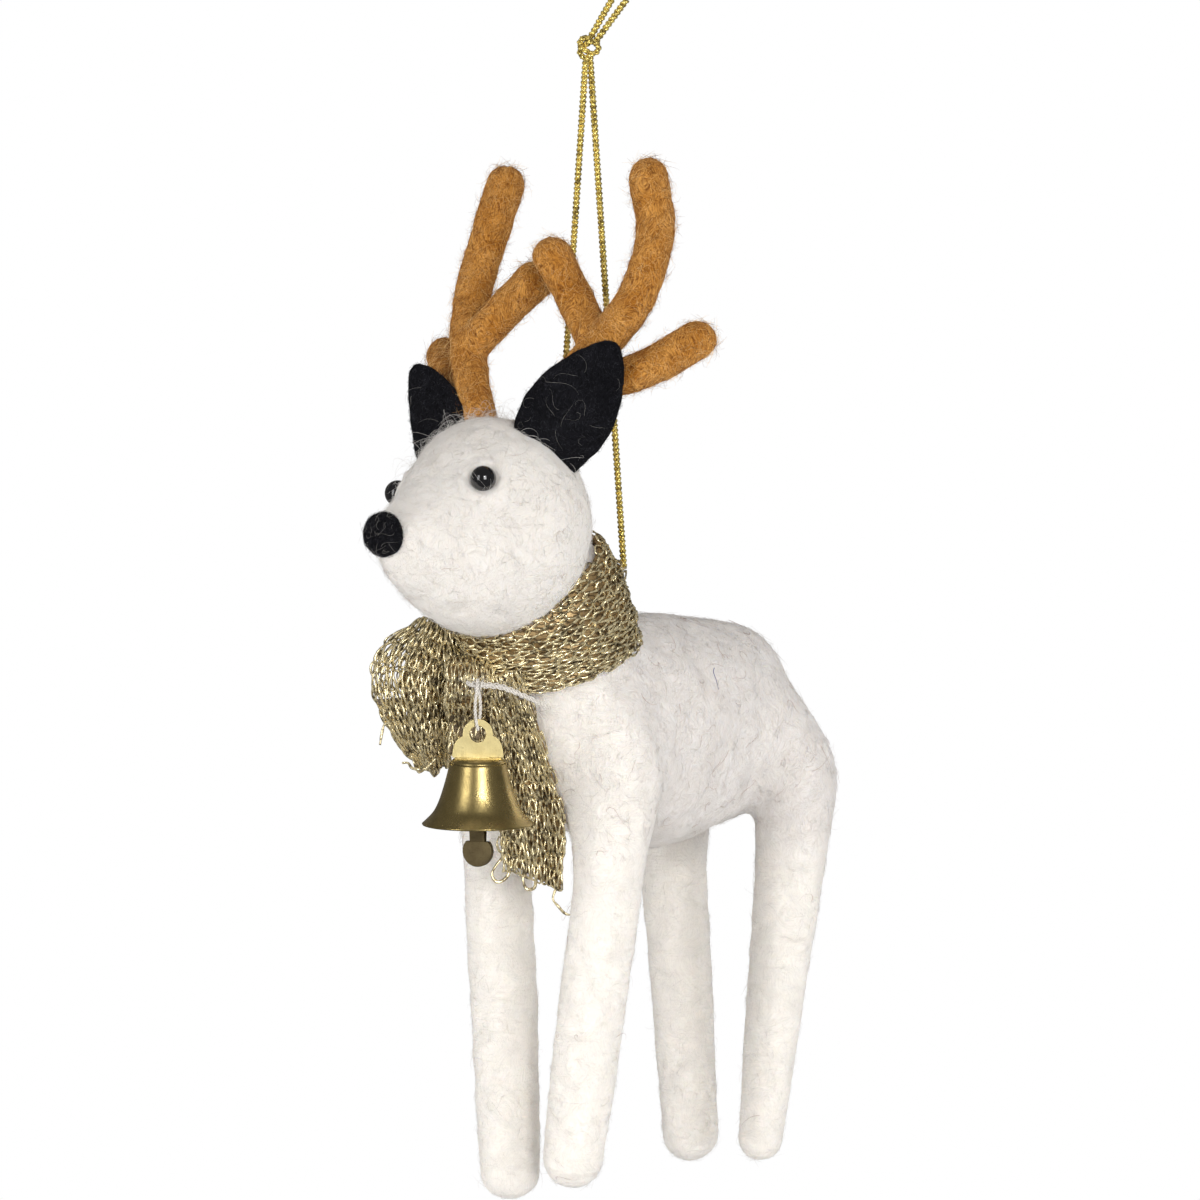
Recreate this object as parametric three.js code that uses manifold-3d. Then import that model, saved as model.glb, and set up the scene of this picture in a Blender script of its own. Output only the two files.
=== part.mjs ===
// A needle-felted reindeer ornament: a wool body, head and legs on a wire armature, rolled antlers,
// felt ears, a knitted scarf with a small brass bell, and a braided hanging cord.
// Millimetres, +Z up. The origin is the point just under the cord's knot that a hook holds.
// The reindeer faces -X and its left side is towards -Y.
import * as THREE from "three";
import { mergeVertices } from "three/addons/utils/BufferGeometryUtils.js";
import Module from "manifold-3d";

const wasm = await Module();
wasm.setup();

// Gaps between neighbours
const seatGap = 0.3; // between two pieces that are sewn, felted or pressed together
const cutOverrun = 1; // how far a cutting tool runs past what it cuts

// Hanging cord
const cordDiameter = 1.1;
const loopDrop = 80.6; // from the hook to where the strands meet the scarf
const loopWidth = 15.4; // between the strands at the scarf
const knotLength = 4;
const knotWidth = 4;
const tailLength = 7.4;
const tailLeanDegrees = 33; // from upright
const tailSpreadDegrees = 7; // between the two cut ends
const strandTurnDegrees = 13; // from straight behind one another

// Wool body
const bodyLength = 63.5;
const bodyWidth = 32.5;
const bodyHeight = 36.6;
const bodySetBack = 13.4; // its centre, behind the hanging line
const bodyDrop = 26.6; // its centre, below the cord's exits

// Neck
const neckDiameter = 24;
const neckRootDiameter = 27;
const neckTopDiameter = 25.4;
const neckTiltDegrees = 24; // the scarf's ring leans forward by this
const neckRise = 7; // from the scarf's centre up into the head

// Head
const headLength = 40.4; // back of the skull to the end of the muzzle
const headWidth = 31.4;
const headHeight = 34.8;
const headAhead = 16.9; // centre of its length, ahead of the scarf's centre
const headAbove = 15.85; // and above it
const headTiltShare = 0.055; // the head leans: its left side rises by this share of the distance out
const noseDiameter = 6.9;
const noseLength = 5.4;
const eyeDiameter = 4.1;
const eyeShankDiameter = 1;
const eyeShankLength = 5;
const eyeProudShare = 0.06; // its centre stands off the wool by this share of its diameter
const eyeAlongDegrees = { left: 73, right: 78 }; // from the muzzle's tip, about the middle of the head
const eyeHeightDegrees = { left: 45, right: 22 };

// Felt ears
const earLength = 20.5;
const earWidth = 14.6;
const earFelt = 1.3; // thickness
const earCup = 1.5; // how far its edges curl forward
const earRootDepth = 3; // drawn into the wool
const earTwistDegrees = { left: 0, right: 38 };

// Rolled antlers
const rodDiameter = 6.2; // at the tip
const rodRootDiameter = 5.4;
const antlerHeight = 54; // beam tip above the centre of the head
const antlerReach = 15.5; // beam tip out from the middle
const antlerBack = 24.7; // beam tip behind the centre of the head
const outerTineReach = 27.2;
const innerTineReach = 3.7;

// Legs
const shoulderDiameter = 17.4;
const legDiameter = 10.8; // at the elbow
const hoofDiameter = { front_left: 9.6, front_right: 9.6, hind_left: 7.4, hind_right: 9.2 };
// Hooves below the cord's exits
const legDrop = { front_left: 99.2, front_right: 102.8, hind_left: 100.6, hind_right: 102.6 };
const legSpan = 43.3; // front hips to hind hips
const hipSpread = { front: 24.6, hind: 26.8 }; // between the left and right legs where they leave the body
const hoofSpread = { front: 13.8, hind: 15.4 };
const hoofForward = { front: 3, hind: 1 }; // how far the hooves stand ahead of the hips

// Wire armature
const wireDiameter = 1.2;
const wireClearance = 0.2; // between a wire and the wool packed round it
const hoofWireMargin = 6; // wool left below the end of a leg wire

// Knitted scarf
const scarfThickness = 2.4; // of the gathered band
const scarfEndThickness = 2;
const collarRoll = 3; // how far its upper edge leans in towards the neck
const exitRise = 3.3; // the cord comes out this far above the middle of the band
const collarBackWidth = 15.4; // width of the band at the nape
const collarFrontWidth = 11.2; // and where it crosses on the chest
const collarUpperShare = 1.35; // its upper half is wider by this
const shortEndLength = 26.5;
const shortEndWidth = 15.8;
const longEndLength = 36.5;
const longEndWidth = 11;
const scarfTurnDegrees = 48; // its ends face forward and left

// Cotton thread that ties the bell on
const threadDiameter = 0.55;
const threadDrop = 7; // from the tie down to the bell's hanger
const tieAhead = 19.7; // where the loop hangs, ahead of the scarf's centre
const tieAside = 4; // and to the left
const tieBelow = 8.75; // and below it
const tieLength = 12.5;

// Brass bell
const bellTurnDegrees = 48; // its hanger plate faces forward and left
const bellMouthDiameter = 18.5;
const bellCrownDiameter = 8.8;
const bellHeight = 10.4;
const bellWall = 0.5;
const crownCornerRadius = 0.7;
const plateThickness = 0.45;
const plateWidth = 8.1;
const plateHoleDiameter = 2.6;
const plateHoleHeight = 3.4; // above the crown
const plateLobeDiameter = 4.8;
const tabWidth = 3.6;
const tabHoleDiameter = 2.2;
const tabLength = 4.1; // below the crown's top
const clapperTurnDegrees = 20; // turned on its own hook from the plate
const clapperThickness = 0.35;
const clapperWidth = 2.5;
const clapperNeckWidth = 1.2; // where the strip folds through the tab
const clapperEndDiameter = 4.9;
const clapperBelowRim = 6.7;

// Mesh counts
const bodyRings = 20;
const bodySides = 20;
const legSides = 14;
const legSteps = 12;
const rodSides = 10;
const wireSides = 6;
const cordSides = 8;
const roundSteps = 3; // rings in a rounded end

const wool = new THREE.MeshStandardMaterial({ color: 0xece6dc, roughness: 1, metalness: 0 });
const legWool = new THREE.MeshStandardMaterial({ color: 0xf0eade, roughness: 1, metalness: 0 });
const antlerWool = new THREE.MeshStandardMaterial({ color: 0xb5752f, roughness: 1, metalness: 0 });
const blackFelt = new THREE.MeshStandardMaterial({ color: 0x14151a, roughness: 1, metalness: 0 });
const blackGlass = new THREE.MeshStandardMaterial({ color: 0x08080a, roughness: 0.08, metalness: 0 });
const goldKnit = new THREE.MeshStandardMaterial({ color: 0xb39a5c, roughness: 0.4, metalness: 0.6 });
const goldBraid = new THREE.MeshStandardMaterial({ color: 0xb89a3a, roughness: 0.35, metalness: 0.8 });
const cotton = new THREE.MeshStandardMaterial({ color: 0xe9e4dc, roughness: 0.9, metalness: 0 });
const brass = new THREE.MeshStandardMaterial({ color: 0xb89b4a, roughness: 0.3, metalness: 1 });
const steel = new THREE.MeshStandardMaterial({ color: 0x8c8f93, roughness: 0.4, metalness: 1 });

const radians = THREE.MathUtils.degToRad;
const LEFT = -1; // the reindeer's left is towards -Y
const RIGHT = 1;
const sides = [
  { name: "left", way: LEFT },
  { name: "right", way: RIGHT },
];

function vector(x, y, z) {
  return new THREE.Vector3(x, y, z);
}

// A smooth line through rows of a table that stand at equal steps of 0 to 1
function alongTable(rows) {
  const steps = rows.map((row, i) => i / (rows.length - 1));
  const line = new THREE.CubicInterpolant(steps, rows.flat(), rows[0].length);
  return (share) => line.evaluate(share);
}

// A closed surface through rings of points. Each ring turns right-handed about the way from the
// first ring to the last. The ends are two poles, or FLAT where each ring runs out one way and back
// the other. Without ends the last ring joins the first.
const FLAT = "flat";
function skin(rings, ends) {
  const count = rings[0].length;
  const points = rings.flat();
  const faces = [];
  const bands = ends ? rings.length - 1 : rings.length;
  const last = (rings.length - 1) * count;
  for (let i = 0; i < bands; i++) {
    const next = (i + 1) % rings.length;
    for (let j = 0; j < count; j++) {
      const k = (j + 1) % count;
      const [a, b] = [i * count + j, i * count + k];
      const [c, d] = [next * count + k, next * count + j];
      faces.push(a, b, c, a, c, d);
    }
  }
  if (ends === FLAT) {
    for (let j = 0; j < count / 2 - 1; j++) {
      const [a, b, c, d] = [j, j + 1, count - 2 - j, count - 1 - j];
      faces.push(a, c, b, a, d, c);
      faces.push(last + a, last + b, last + c, last + a, last + c, last + d);
    }
  } else if (ends) {
    const start = points.length;
    points.push(...ends);
    for (let j = 0; j < count; j++) {
      const k = (j + 1) % count;
      faces.push(start, k, j, start + 1, last + j, last + k);
    }
  }
  const geometry = new THREE.BufferGeometry().setFromPoints(points);
  geometry.setIndex(faces);
  return geometry;
}

// A round limb along a path, with rounded ends. radiusAt gives the radius at a share of the length,
// and endRound how far the ends bulge, in shares of their radius.
function limb(path, radiusAt, sideCount, steps, endRound = 1) {
  const frames = path.computeFrenetFrames(steps, false);
  const ring = (i, along, radius) => {
    const centre = path.getPointAt(i / steps).addScaledVector(frames.tangents[i], along);
    return Array.from({ length: sideCount }, (_, j) => {
      const turn = (2 * Math.PI * j) / sideCount;
      return centre
        .clone()
        .addScaledVector(frames.normals[i], radius * Math.cos(turn))
        .addScaledVector(frames.binormals[i], radius * Math.sin(turn));
    });
  };
  const end = (i, way) => {
    const radius = radiusAt(i / steps);
    return Array.from({ length: roundSteps - 1 }, (_, k) => {
      const rise = (Math.PI / 2) * ((k + 1) / roundSteps);
      return ring(i, way * endRound * radius * Math.sin(rise), radius * Math.cos(rise));
    });
  };
  const middle = Array.from({ length: steps + 1 }, (_, i) => ring(i, 0, radiusAt(i / steps)));
  const rings = [...end(0, -1).reverse(), ...middle, ...end(steps, 1)];
  const tip = (i, way) =>
    path.getPointAt(i / steps).addScaledVector(frames.tangents[i], way * endRound * radiusAt(i / steps));
  return skin(rings, [tip(0, -1), tip(steps, 1)]);
}

// A straight or curved round bar of one thickness with flat ends
function bar(points, diameter, sideCount, steps) {
  const path = points.length === 2 ? new THREE.LineCurve3(...points) : new THREE.CatmullRomCurve3(points);
  const section = new THREE.Shape();
  section.absarc(0, 0, diameter / 2, 0, 2 * Math.PI);
  const options = { steps, extrudePath: path, bevelEnabled: false, curveSegments: sideCount };
  return new THREE.ExtrudeGeometry(section, options);
}

// An egg lying along X with its front end at -X. The table gives, at equal steps from the front
// round to the back, what share of the half width, the height above and the depth below is filled.
function egg({ length, width, height, centre, shapeShares }) {
  const shape = alongTable(shapeShares);
  const surface = (along, around, grow = 0) => {
    const [wide, high, deep] = shape(along / Math.PI);
    const rise = Math.sin(around);
    const half = (height / 2) * (rise > 0 ? high : deep) * Math.sin(along) + grow;
    const x = -(length / 2) * Math.cos(along) - grow * Math.cos(along);
    const y = ((width / 2) * wide * Math.sin(along) + grow) * Math.cos(around);
    return vector(x, y, half * rise).add(centre);
  };
  const geometry = (grow = 0) => {
    const rings = [];
    for (let i = 1; i < bodyRings; i++) {
      const along = (Math.PI * i) / bodyRings;
      rings.push(
        Array.from({ length: bodySides }, (_, j) => surface(along, (2 * Math.PI * j) / bodySides, grow)),
      );
    }
    const reach = length / 2 + grow;
    return skin(rings, [vector(-reach, 0, 0).add(centre), vector(reach, 0, 0).add(centre)]);
  };
  return { surface, geometry };
}

// A bent sheet of felt or knitting along a spine. acrossAt gives its crosswise direction,
// halfWidthAt its half width, and liftAt how far it stands off the spine at a share across it. It
// is made larger by grow on every side.
function sheet({ spine, acrossAt, halfWidthAt, liftAt, thickness, steps, columns, grow }) {
  const edgeShare = 0.5; // the edges are this much as thick as the middle
  const rings = [];
  for (let i = 0; i <= steps; i++) {
    const share = i / steps;
    const tangent = spine.getTangentAt(share);
    const beyond = i === 0 ? -grow : i === steps ? grow : 0;
    const centre = spine.getPointAt(share).addScaledVector(tangent, beyond);
    const across = acrossAt(share).projectOnPlane(tangent).normalize();
    const out = tangent.clone().cross(across);
    const place = (side, way) => {
      const half = grow + (thickness / 2) * Math.sqrt(1 - (1 - edgeShare ** 2) * side ** 2);
      return centre
        .clone()
        .addScaledVector(across, (halfWidthAt(share) + grow) * side)
        .addScaledVector(out, liftAt(share, side) + way * half);
    };
    const shares = Array.from({ length: columns + 1 }, (_, k) => 1 - (2 * k) / columns);
    const front = shares.map((side) => place(side, 1));
    const back = shares.reverse().map((side) => place(side, -1));
    rings.push([...front, ...back]);
  }
  return skin(rings, FLAT);
}

function toSolid(geometry) {
  const bare = geometry.clone();
  bare.deleteAttribute("normal");
  bare.deleteAttribute("uv");
  const merged = mergeVertices(bare);
  const vertProperties = Float32Array.from(merged.attributes.position.array);
  const triVerts = Uint32Array.from(merged.index.array);
  return new wasm.Manifold(new wasm.Mesh({ numProp: 3, vertProperties, triVerts }));
}

function toGeometry(solid) {
  const { vertProperties, triVerts } = solid.getMesh();
  const geometry = new THREE.BufferGeometry();
  geometry.setAttribute("position", new THREE.BufferAttribute(vertProperties, 3));
  geometry.setIndex(new THREE.BufferAttribute(triVerts, 1));
  geometry.computeVertexNormals();
  return geometry;
}

function cut(geometry, ...tools) {
  return tools.reduce((solid, tool) => solid.subtract(toSolid(tool)), toSolid(geometry));
}

function addMesh(group, name, shape, material) {
  const geometry = shape.isBufferGeometry ? shape : toGeometry(shape);
  const mesh = new THREE.Mesh(geometry, material);
  mesh.name = name;
  group.add(mesh);
  return mesh;
}

const ornament = new THREE.Group();
// Everything that swings on the cord is placed from the middle of the line between its exits
const deer = new THREE.Group();
deer.position.z = -loopDrop;
ornament.add(deer);

// The scarf's ring, and the neck inside it, stand where the cord's exits touch its outside
const neckTilt = radians(neckTiltDegrees);
const collarBack = vector(Math.cos(neckTilt), 0, Math.sin(neckTilt));
const collarUp = vector(-Math.sin(neckTilt), 0, Math.cos(neckTilt));
const collarAside = vector(0, 1, 0);
const collarRadius = neckDiameter / 2 + seatGap + scarfThickness / 2;
// How far the band's middle surface leans in at a share of the way from its middle to its upper edge
function rollAt(share) {
  return share > 0 ? collarRoll * share ** 2 : 0;
}
const exitShare = exitRise / ((collarBackWidth / 2) * collarUpperShare);
const exitSurface = (scarfThickness / 2) * Math.sqrt(1 - exitShare ** 2) - rollAt(exitShare);
const exitRadius = collarRadius + exitSurface + seatGap + cordDiameter / 2;
const exitBehind = Math.sqrt(exitRadius ** 2 - (loopWidth / 2) ** 2);
const collarCentre = vector(0, 0, 0)
  .addScaledVector(collarBack, -exitBehind)
  .addScaledVector(collarUp, -exitRise);

// Body and neck
const bodyCentre = vector(bodySetBack, 0, -bodyDrop);
const bodyShapeShares = [
  [1.1, 1, 1],
  [1.08, 1, 1],
  [1.04, 1.01, 1.05],
  [1, 0.97, 1.05],
  [1, 0.99, 1.14],
  [1.04, 1.33, 1.45],
  [1.1, 1.4, 1.7],
];
const body = egg({
  length: bodyLength,
  width: bodyWidth,
  height: bodyHeight,
  centre: bodyCentre,
  shapeShares: bodyShapeShares,
});
const headCentre = collarCentre.clone().add(vector(-headAhead, 0, headAbove));
const neckRootShares = [0.22, 0.13]; // where the neck starts in the body: ahead and below its middle
const neckEndRound = 0.5;
const neckPath = new THREE.CatmullRomCurve3([
  bodyCentre.clone().add(vector(-bodyLength * neckRootShares[0], 0, -bodyHeight * neckRootShares[1])),
  collarCentre,
  collarCentre.clone().addScaledVector(collarUp, neckRise),
]);
const neckRadius = alongTable([[neckRootDiameter / 2], [neckDiameter / 2], [neckTopDiameter / 2]]);
const neckSteps = 10;
function bodyAndNeck(grow) {
  const radiusAt = (share) => neckRadius(share)[0] + grow;
  const neck = limb(neckPath, radiusAt, bodySides, neckSteps, neckEndRound);
  return toSolid(body.geometry(grow)).add(toSolid(neck));
}

// Head
const headShapeShares = [
  [0.48, 0.36, 0.74],
  [0.53, 0.4, 0.78],
  [0.63, 0.53, 0.84],
  [0.95, 0.93, 0.98],
  [1.1, 1.07, 1.09],
  [1.15, 1.14, 1.14],
  [1.15, 1.14, 1.14],
];
const head = egg({
  length: headLength,
  width: headWidth,
  height: headHeight,
  centre: headCentre,
  shapeShares: headShapeShares,
});

// A place on the head: back from its middle, out to a side, and up, with the head's lean
function onHead(way, back, out, up) {
  return vector(back, way * out, up - way * out * headTiltShare).add(headCentre);
}

// Legs
const legs = sides.flatMap(({ name, way }) => [
  { name: "front_" + name, end: "front", way },
  { name: "hind_" + name, end: "hind", way },
]);
const hipBack = { front: bodySetBack - legSpan / 2, hind: bodySetBack + legSpan / 2 };
// Down the leg: how far inside the hip's spread, how far towards the body's middle, and how deep
const legPathShares = {
  front: [
    [0.68, 0.08, 0.02],
    [0.94, 0.01, 0.62],
    [0.98, 0, 1.12],
  ],
  hind: [
    [0.66, 0.07, 0],
    [0.94, -0.03, 0.6],
    [0.98, -0.01, 1.12],
  ],
};
// How much thicker than at the elbow a leg is, down its length, in shares of the swell above it
// and of the taper below it
const legGirth = {
  front: alongTable([[1], [0.97], [0.66], [0.06], [0], [-0.1], [-0.25], [-0.55], [-1]]),
  hind: alongTable([[1], [0.84], [0.3], [0.08], [-0.12], [-0.38], [-0.56], [-0.82], [-1]]),
};
for (const leg of legs) {
  const hipX = hipBack[leg.end];
  const inward = leg.end === "front" ? 1 : -1;
  const drop = legDrop[leg.name];
  const hoofRadius = hoofDiameter[leg.name] / 2;
  const points = legPathShares[leg.end].map(([spread, middle, deep]) =>
    vector(
      hipX + inward * middle * legSpan,
      (leg.way * spread * hipSpread[leg.end]) / 2,
      -bodyDrop - (deep * bodyHeight) / 2,
    ),
  );
  const ankle = vector(
    hipX - hoofForward[leg.end],
    (leg.way * hoofSpread[leg.end]) / 2,
    -drop + hoofRadius,
  );
  points.push(points[2].clone().lerp(ankle, 0.5), ankle);
  leg.path = new THREE.CatmullRomCurve3(points);
  leg.radiusAt = (share) => {
    const [girth] = legGirth[leg.end](share);
    const towards = girth > 0 ? shoulderDiameter - legDiameter : legDiameter - hoofDiameter[leg.name];
    return (legDiameter + girth * towards) / 2;
  };
  leg.geometry = (grow) => limb(leg.path, (share) => leg.radiusAt(share) + grow, legSides, legSteps);
}

// Wire armature: an arch down each pair of legs, and a spine that runs over both into the head
const boreDiameter = wireDiameter + 2 * wireClearance;
const archSteps = 16;
function legWire(end, diameter) {
  const pair = legs.filter((leg) => leg.end === end);
  const down = (leg) => {
    const length = leg.path.getLength();
    const stop = 1 - hoofWireMargin / length;
    return [0.2, 0.45, 0.7, 1].map((share) => leg.path.getPointAt(share * stop));
  };
  const [left, right] = pair.map(down);
  const inward = legPathShares[end][0][1] * legSpan;
  const top = vector(hipBack[end] + (end === "front" ? inward : -inward), 0, -bodyDrop);
  return bar([...left.reverse(), top, ...right], diameter, wireSides, archSteps);
}
const spineHeight = -bodyDrop + wireDiameter + 2 * wireClearance + seatGap;
const spineEndShare = 0.16; // of the body's length, behind its middle
const spineTipShare = 0.28; // of the head's length, ahead of its middle
function spineWire(diameter) {
  const points = [
    vector(bodySetBack + spineEndShare * bodyLength, 0, spineHeight),
    vector(bodySetBack - bodyLength / 4, 0, spineHeight),
    collarCentre,
    collarCentre.clone().addScaledVector(collarUp, neckRise),
    headCentre,
    headCentre.clone().add(vector(-headLength * spineTipShare, 0, 0)),
  ];
  return bar(points, diameter, wireSides, archSteps);
}

// Cord inside the neck: from one exit through the scarf, into the wool and back out
const cordRadius = cordDiameter / 2;
const innerSteps = 12;
const innerDepthShare = 0.28; // of the exits' radius, below the scarf
const innerEndRound = 0.3;
function cordInner(grow, endRound) {
  const towardsAxis = (point, distance) => {
    const along = point.clone().sub(collarCentre).dot(collarUp);
    const axis = collarCentre.clone().addScaledVector(collarUp, along);
    return point.clone().addScaledVector(axis.sub(point).normalize(), distance);
  };
  const start = cordRadius * (1 + innerEndRound) + seatGap;
  const depth = exitRadius * innerDepthShare;
  const [left, right] = sides.map(({ way }) => vector(0, (way * loopWidth) / 2, 0));
  const deepLeft = towardsAxis(left, start + scarfThickness + depth);
  const deepRight = towardsAxis(right, start + scarfThickness + depth);
  const middle = deepLeft.clone().lerp(deepRight, 0.5).add(vector(-depth / 4, 0, -depth / 2));
  const path = new THREE.CatmullRomCurve3([
    towardsAxis(left, start),
    towardsAxis(left, start + scarfThickness),
    deepLeft,
    middle,
    deepRight,
    towardsAxis(right, start + scarfThickness),
    towardsAxis(right, start),
  ]);
  return limb(path, () => cordRadius + grow, cordSides, innerSteps, endRound);
}
const cordBore = cordInner(seatGap, 2);

// Scarf: a band round the neck that crosses on the chest
const collarSteps = 32;
const collarSides = 10;
function collar(grow) {
  const rings = [];
  for (let i = 0; i < collarSteps; i++) {
    const turn = (2 * Math.PI * i) / collarSteps;
    const behind = (1 + Math.cos(turn)) / 2;
    const width = THREE.MathUtils.lerp(collarFrontWidth, collarBackWidth, Math.sqrt(behind));
    const outward = collarBack
      .clone()
      .multiplyScalar(Math.cos(turn))
      .addScaledVector(collarAside, Math.sin(turn));
    const ring = [];
    for (let j = 0; j < collarSides; j++) {
      const around = (2 * Math.PI * j) / collarSides;
      const thick = (scarfThickness / 2 + grow) * Math.cos(around) - rollAt(Math.sin(around));
      const upper = Math.sin(around) > 0 ? collarUpperShare : 1;
      const wide = ((width / 2) * upper + grow) * Math.sin(around);
      ring.push(
        collarCentre
          .clone()
          .addScaledVector(outward, collarRadius + thick)
          .addScaledVector(collarUp, wide),
      );
    }
    // the ring turns right-handed about the way round the neck
    rings.push(ring.reverse());
  }
  return skin(rings);
}

// Scarf ends. A place is ahead of the ring's centre, to the left, and down, in shares of the
// outside radius of the ring.
const scarfOutside = collarRadius + scarfThickness / 2;
function byScarf([ahead, left, down]) {
  return vector(-ahead, -left, -down).multiplyScalar(scarfOutside).add(collarCentre);
}
// Cut a curve through these places to a length, from its first point
function cutTo(length, placeShares) {
  const points = placeShares.map(byScarf);
  const whole = new THREE.CatmullRomCurve3(points).getLength();
  const first = points[0];
  return new THREE.CatmullRomCurve3(
    points.map((point) => point.clone().sub(first).multiplyScalar(length / whole).add(first)),
  );
}
const shortEndPathShares = [
  [0.76, -0.86, 0],
  [1.1, -0.82, 0.6],
  [1.03, -0.82, 1.21],
  [0.83, -0.86, 1.68],
];
const shortEndWidthShares = [[0.48], [0.98], [0.95], [0.68], [0.34]];
const longEndPathShares = [
  [0.89, 0.18, 0.51],
  [0.69, 0.2, 1.05],
  [0.53, 0.2, 1.63],
  [0.39, 0.17, 2.17],
  [0.36, 0.16, 2.85],
];
const longEndWidthShares = [[0.75], [0.92], [0.96], [0.84], [0.84]];
const scarfTurn = radians(scarfTurnDegrees);
const acrossChest = vector(Math.cos(scarfTurn), -Math.sin(scarfTurn), 0);
const cupShare = 0.14; // how far the short end's edges curl back, of its width
const foldDepthShare = 0.07; // of the cloth's width
const foldCount = 2;
function folds(width) {
  return (share, side) => foldDepthShare * width * share * Math.cos(Math.PI * foldCount * side);
}
function shortEnd(grow) {
  const widthAt = alongTable(shortEndWidthShares);
  const cup = (side) => -cupShare * shortEndWidth * side ** 2;
  return sheet({
    spine: cutTo(shortEndLength, shortEndPathShares),
    acrossAt: () => acrossChest.clone(),
    halfWidthAt: (share) => (shortEndWidth / 2) * widthAt(share)[0],
    liftAt: (share, side) => cup(side) + folds(shortEndWidth)(share, side),
    thickness: scarfEndThickness,
    steps: 12,
    columns: 8,
    grow,
  });
}
function longEnd(grow) {
  const widthAt = alongTable(longEndWidthShares);
  return sheet({
    spine: cutTo(longEndLength, longEndPathShares),
    acrossAt: () => acrossChest.clone(),
    halfWidthAt: (share) => (longEndWidth / 2) * widthAt(share)[0],
    liftAt: folds(longEndWidth),
    thickness: scarfEndThickness,
    steps: 12,
    columns: 8,
    grow,
  });
}

const bodyGrown = toGeometry(bodyAndNeck(seatGap));
const headGrown = head.geometry(seatGap);

addMesh(
  deer,
  "body",
  bodyAndNeck(0)
    .subtract(toSolid(legWire("front", boreDiameter)))
    .subtract(toSolid(legWire("hind", boreDiameter)))
    .subtract(toSolid(spineWire(boreDiameter)))
    .subtract(toSolid(cordBore)),
  wool,
);

for (const leg of legs) {
  const bore = legWire(leg.end, boreDiameter);
  addMesh(deer, "leg_" + leg.name, cut(leg.geometry(0), bodyGrown, bore), legWool);
}
addMesh(deer, "leg_wire_front", legWire("front", wireDiameter), steel);
addMesh(deer, "leg_wire_hind", legWire("hind", wireDiameter), steel);
addMesh(deer, "spine_wire", spineWire(wireDiameter), steel);

// Eyes: a round bead with a shank that is glued into the wool
function eyeProfile(grow) {
  const bead = new THREE.Path();
  const shank = eyeShankDiameter / 2 + grow;
  const root = Math.asin(shank / (eyeDiameter / 2 + grow));
  bead.moveTo(0, -eyeShankLength - grow);
  bead.lineTo(shank, -eyeShankLength - grow);
  bead.absarc(0, 0, eyeDiameter / 2 + grow, -Math.PI / 2 + root, Math.PI / 2);
  return bead.getPoints(7);
}
function eye(side, grow) {
  const height = radians(eyeHeightDegrees[side.name]);
  const around = side.way === RIGHT ? height : Math.PI - height;
  const centre = head.surface(radians(eyeAlongDegrees[side.name]), around);
  const out = centre.clone().sub(headCentre).normalize();
  const geometry = new THREE.LatheGeometry(eyeProfile(grow), 12);
  const turn = new THREE.Quaternion().setFromUnitVectors(vector(0, 1, 0), out);
  centre.addScaledVector(out, eyeDiameter * eyeProudShare);
  return geometry.applyQuaternion(turn).translate(...centre);
}
const eyeSolids = sides.map((side) => cut(eye(side, 0)));

// Antlers: a beam with an inner and an outer tine, each a rolled rod felted onto the beam
const beamShares = [
  [0.3, 0.2, 0.22],
  [0.5, 0.76, 0.45],
  [0.76, 1.14, 0.64],
  [0.95, 1.16, 0.85],
  [1, 1, 1],
]; // places along the beam: back, out and up, in shares of the tip's
const tineRootShare = { inner: 0.4, outer: 0.22 }; // along the beam
const tineMiddleShares = { inner: [0.68, 0.48, 0.64], outer: [0.73, 1.35, 0.445] };
// Tips of the tines: back and up, in shares of the beam's
const innerTipShares = { left: [0.61, 0.78], right: [0.76, 0.71] };
const outerTipShares = { left: [0.93, 0.52], right: [0.93, 0.495] };
function antlerPlace(way, [back, out, up]) {
  return onHead(way, back * antlerBack, out * antlerReach, up * antlerHeight);
}
function antlerPaths({ name, way }) {
  const place = (share) => antlerPlace(way, share);
  const [innerBack, innerUp] = innerTipShares[name];
  const [outerBack, outerUp] = outerTipShares[name];
  const innerTip = onHead(way, innerBack * antlerBack, innerTineReach, innerUp * antlerHeight);
  const outerTip = onHead(way, outerBack * antlerBack, outerTineReach, outerUp * antlerHeight);
  const beam = new THREE.CatmullRomCurve3(beamShares.map(place));
  const tine = (kind, tip) => {
    const root = beam.getPointAt(tineRootShare[kind]);
    return new THREE.CatmullRomCurve3([root, place(tineMiddleShares[kind]), tip]);
  };
  return { beam, inner: tine("inner", innerTip), outer: tine("outer", outerTip) };
}
function rod(path, grow, steps) {
  const radiusAt = (share) => THREE.MathUtils.lerp(rodRootDiameter, rodDiameter, share) / 2 + grow;
  return limb(path, radiusAt, rodSides, steps);
}
const antlerWireShare = 0.94; // how far up the beam its wire reaches
const antlerWireDepth = 11; // how far down in the head it starts
function antlerWire(beam, diameter) {
  const down = beam.getTangentAt(0).setY(0).normalize();
  const inside = beam.getPointAt(0).addScaledVector(down, -antlerWireDepth);
  const points = [0, 0.25, 0.5, 0.75, 1].map((share) => beam.getPointAt(share * antlerWireShare));
  return bar([inside, ...points], diameter, wireSides, 12);
}
const beamSteps = 14;
const tineSteps = 6;
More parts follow.
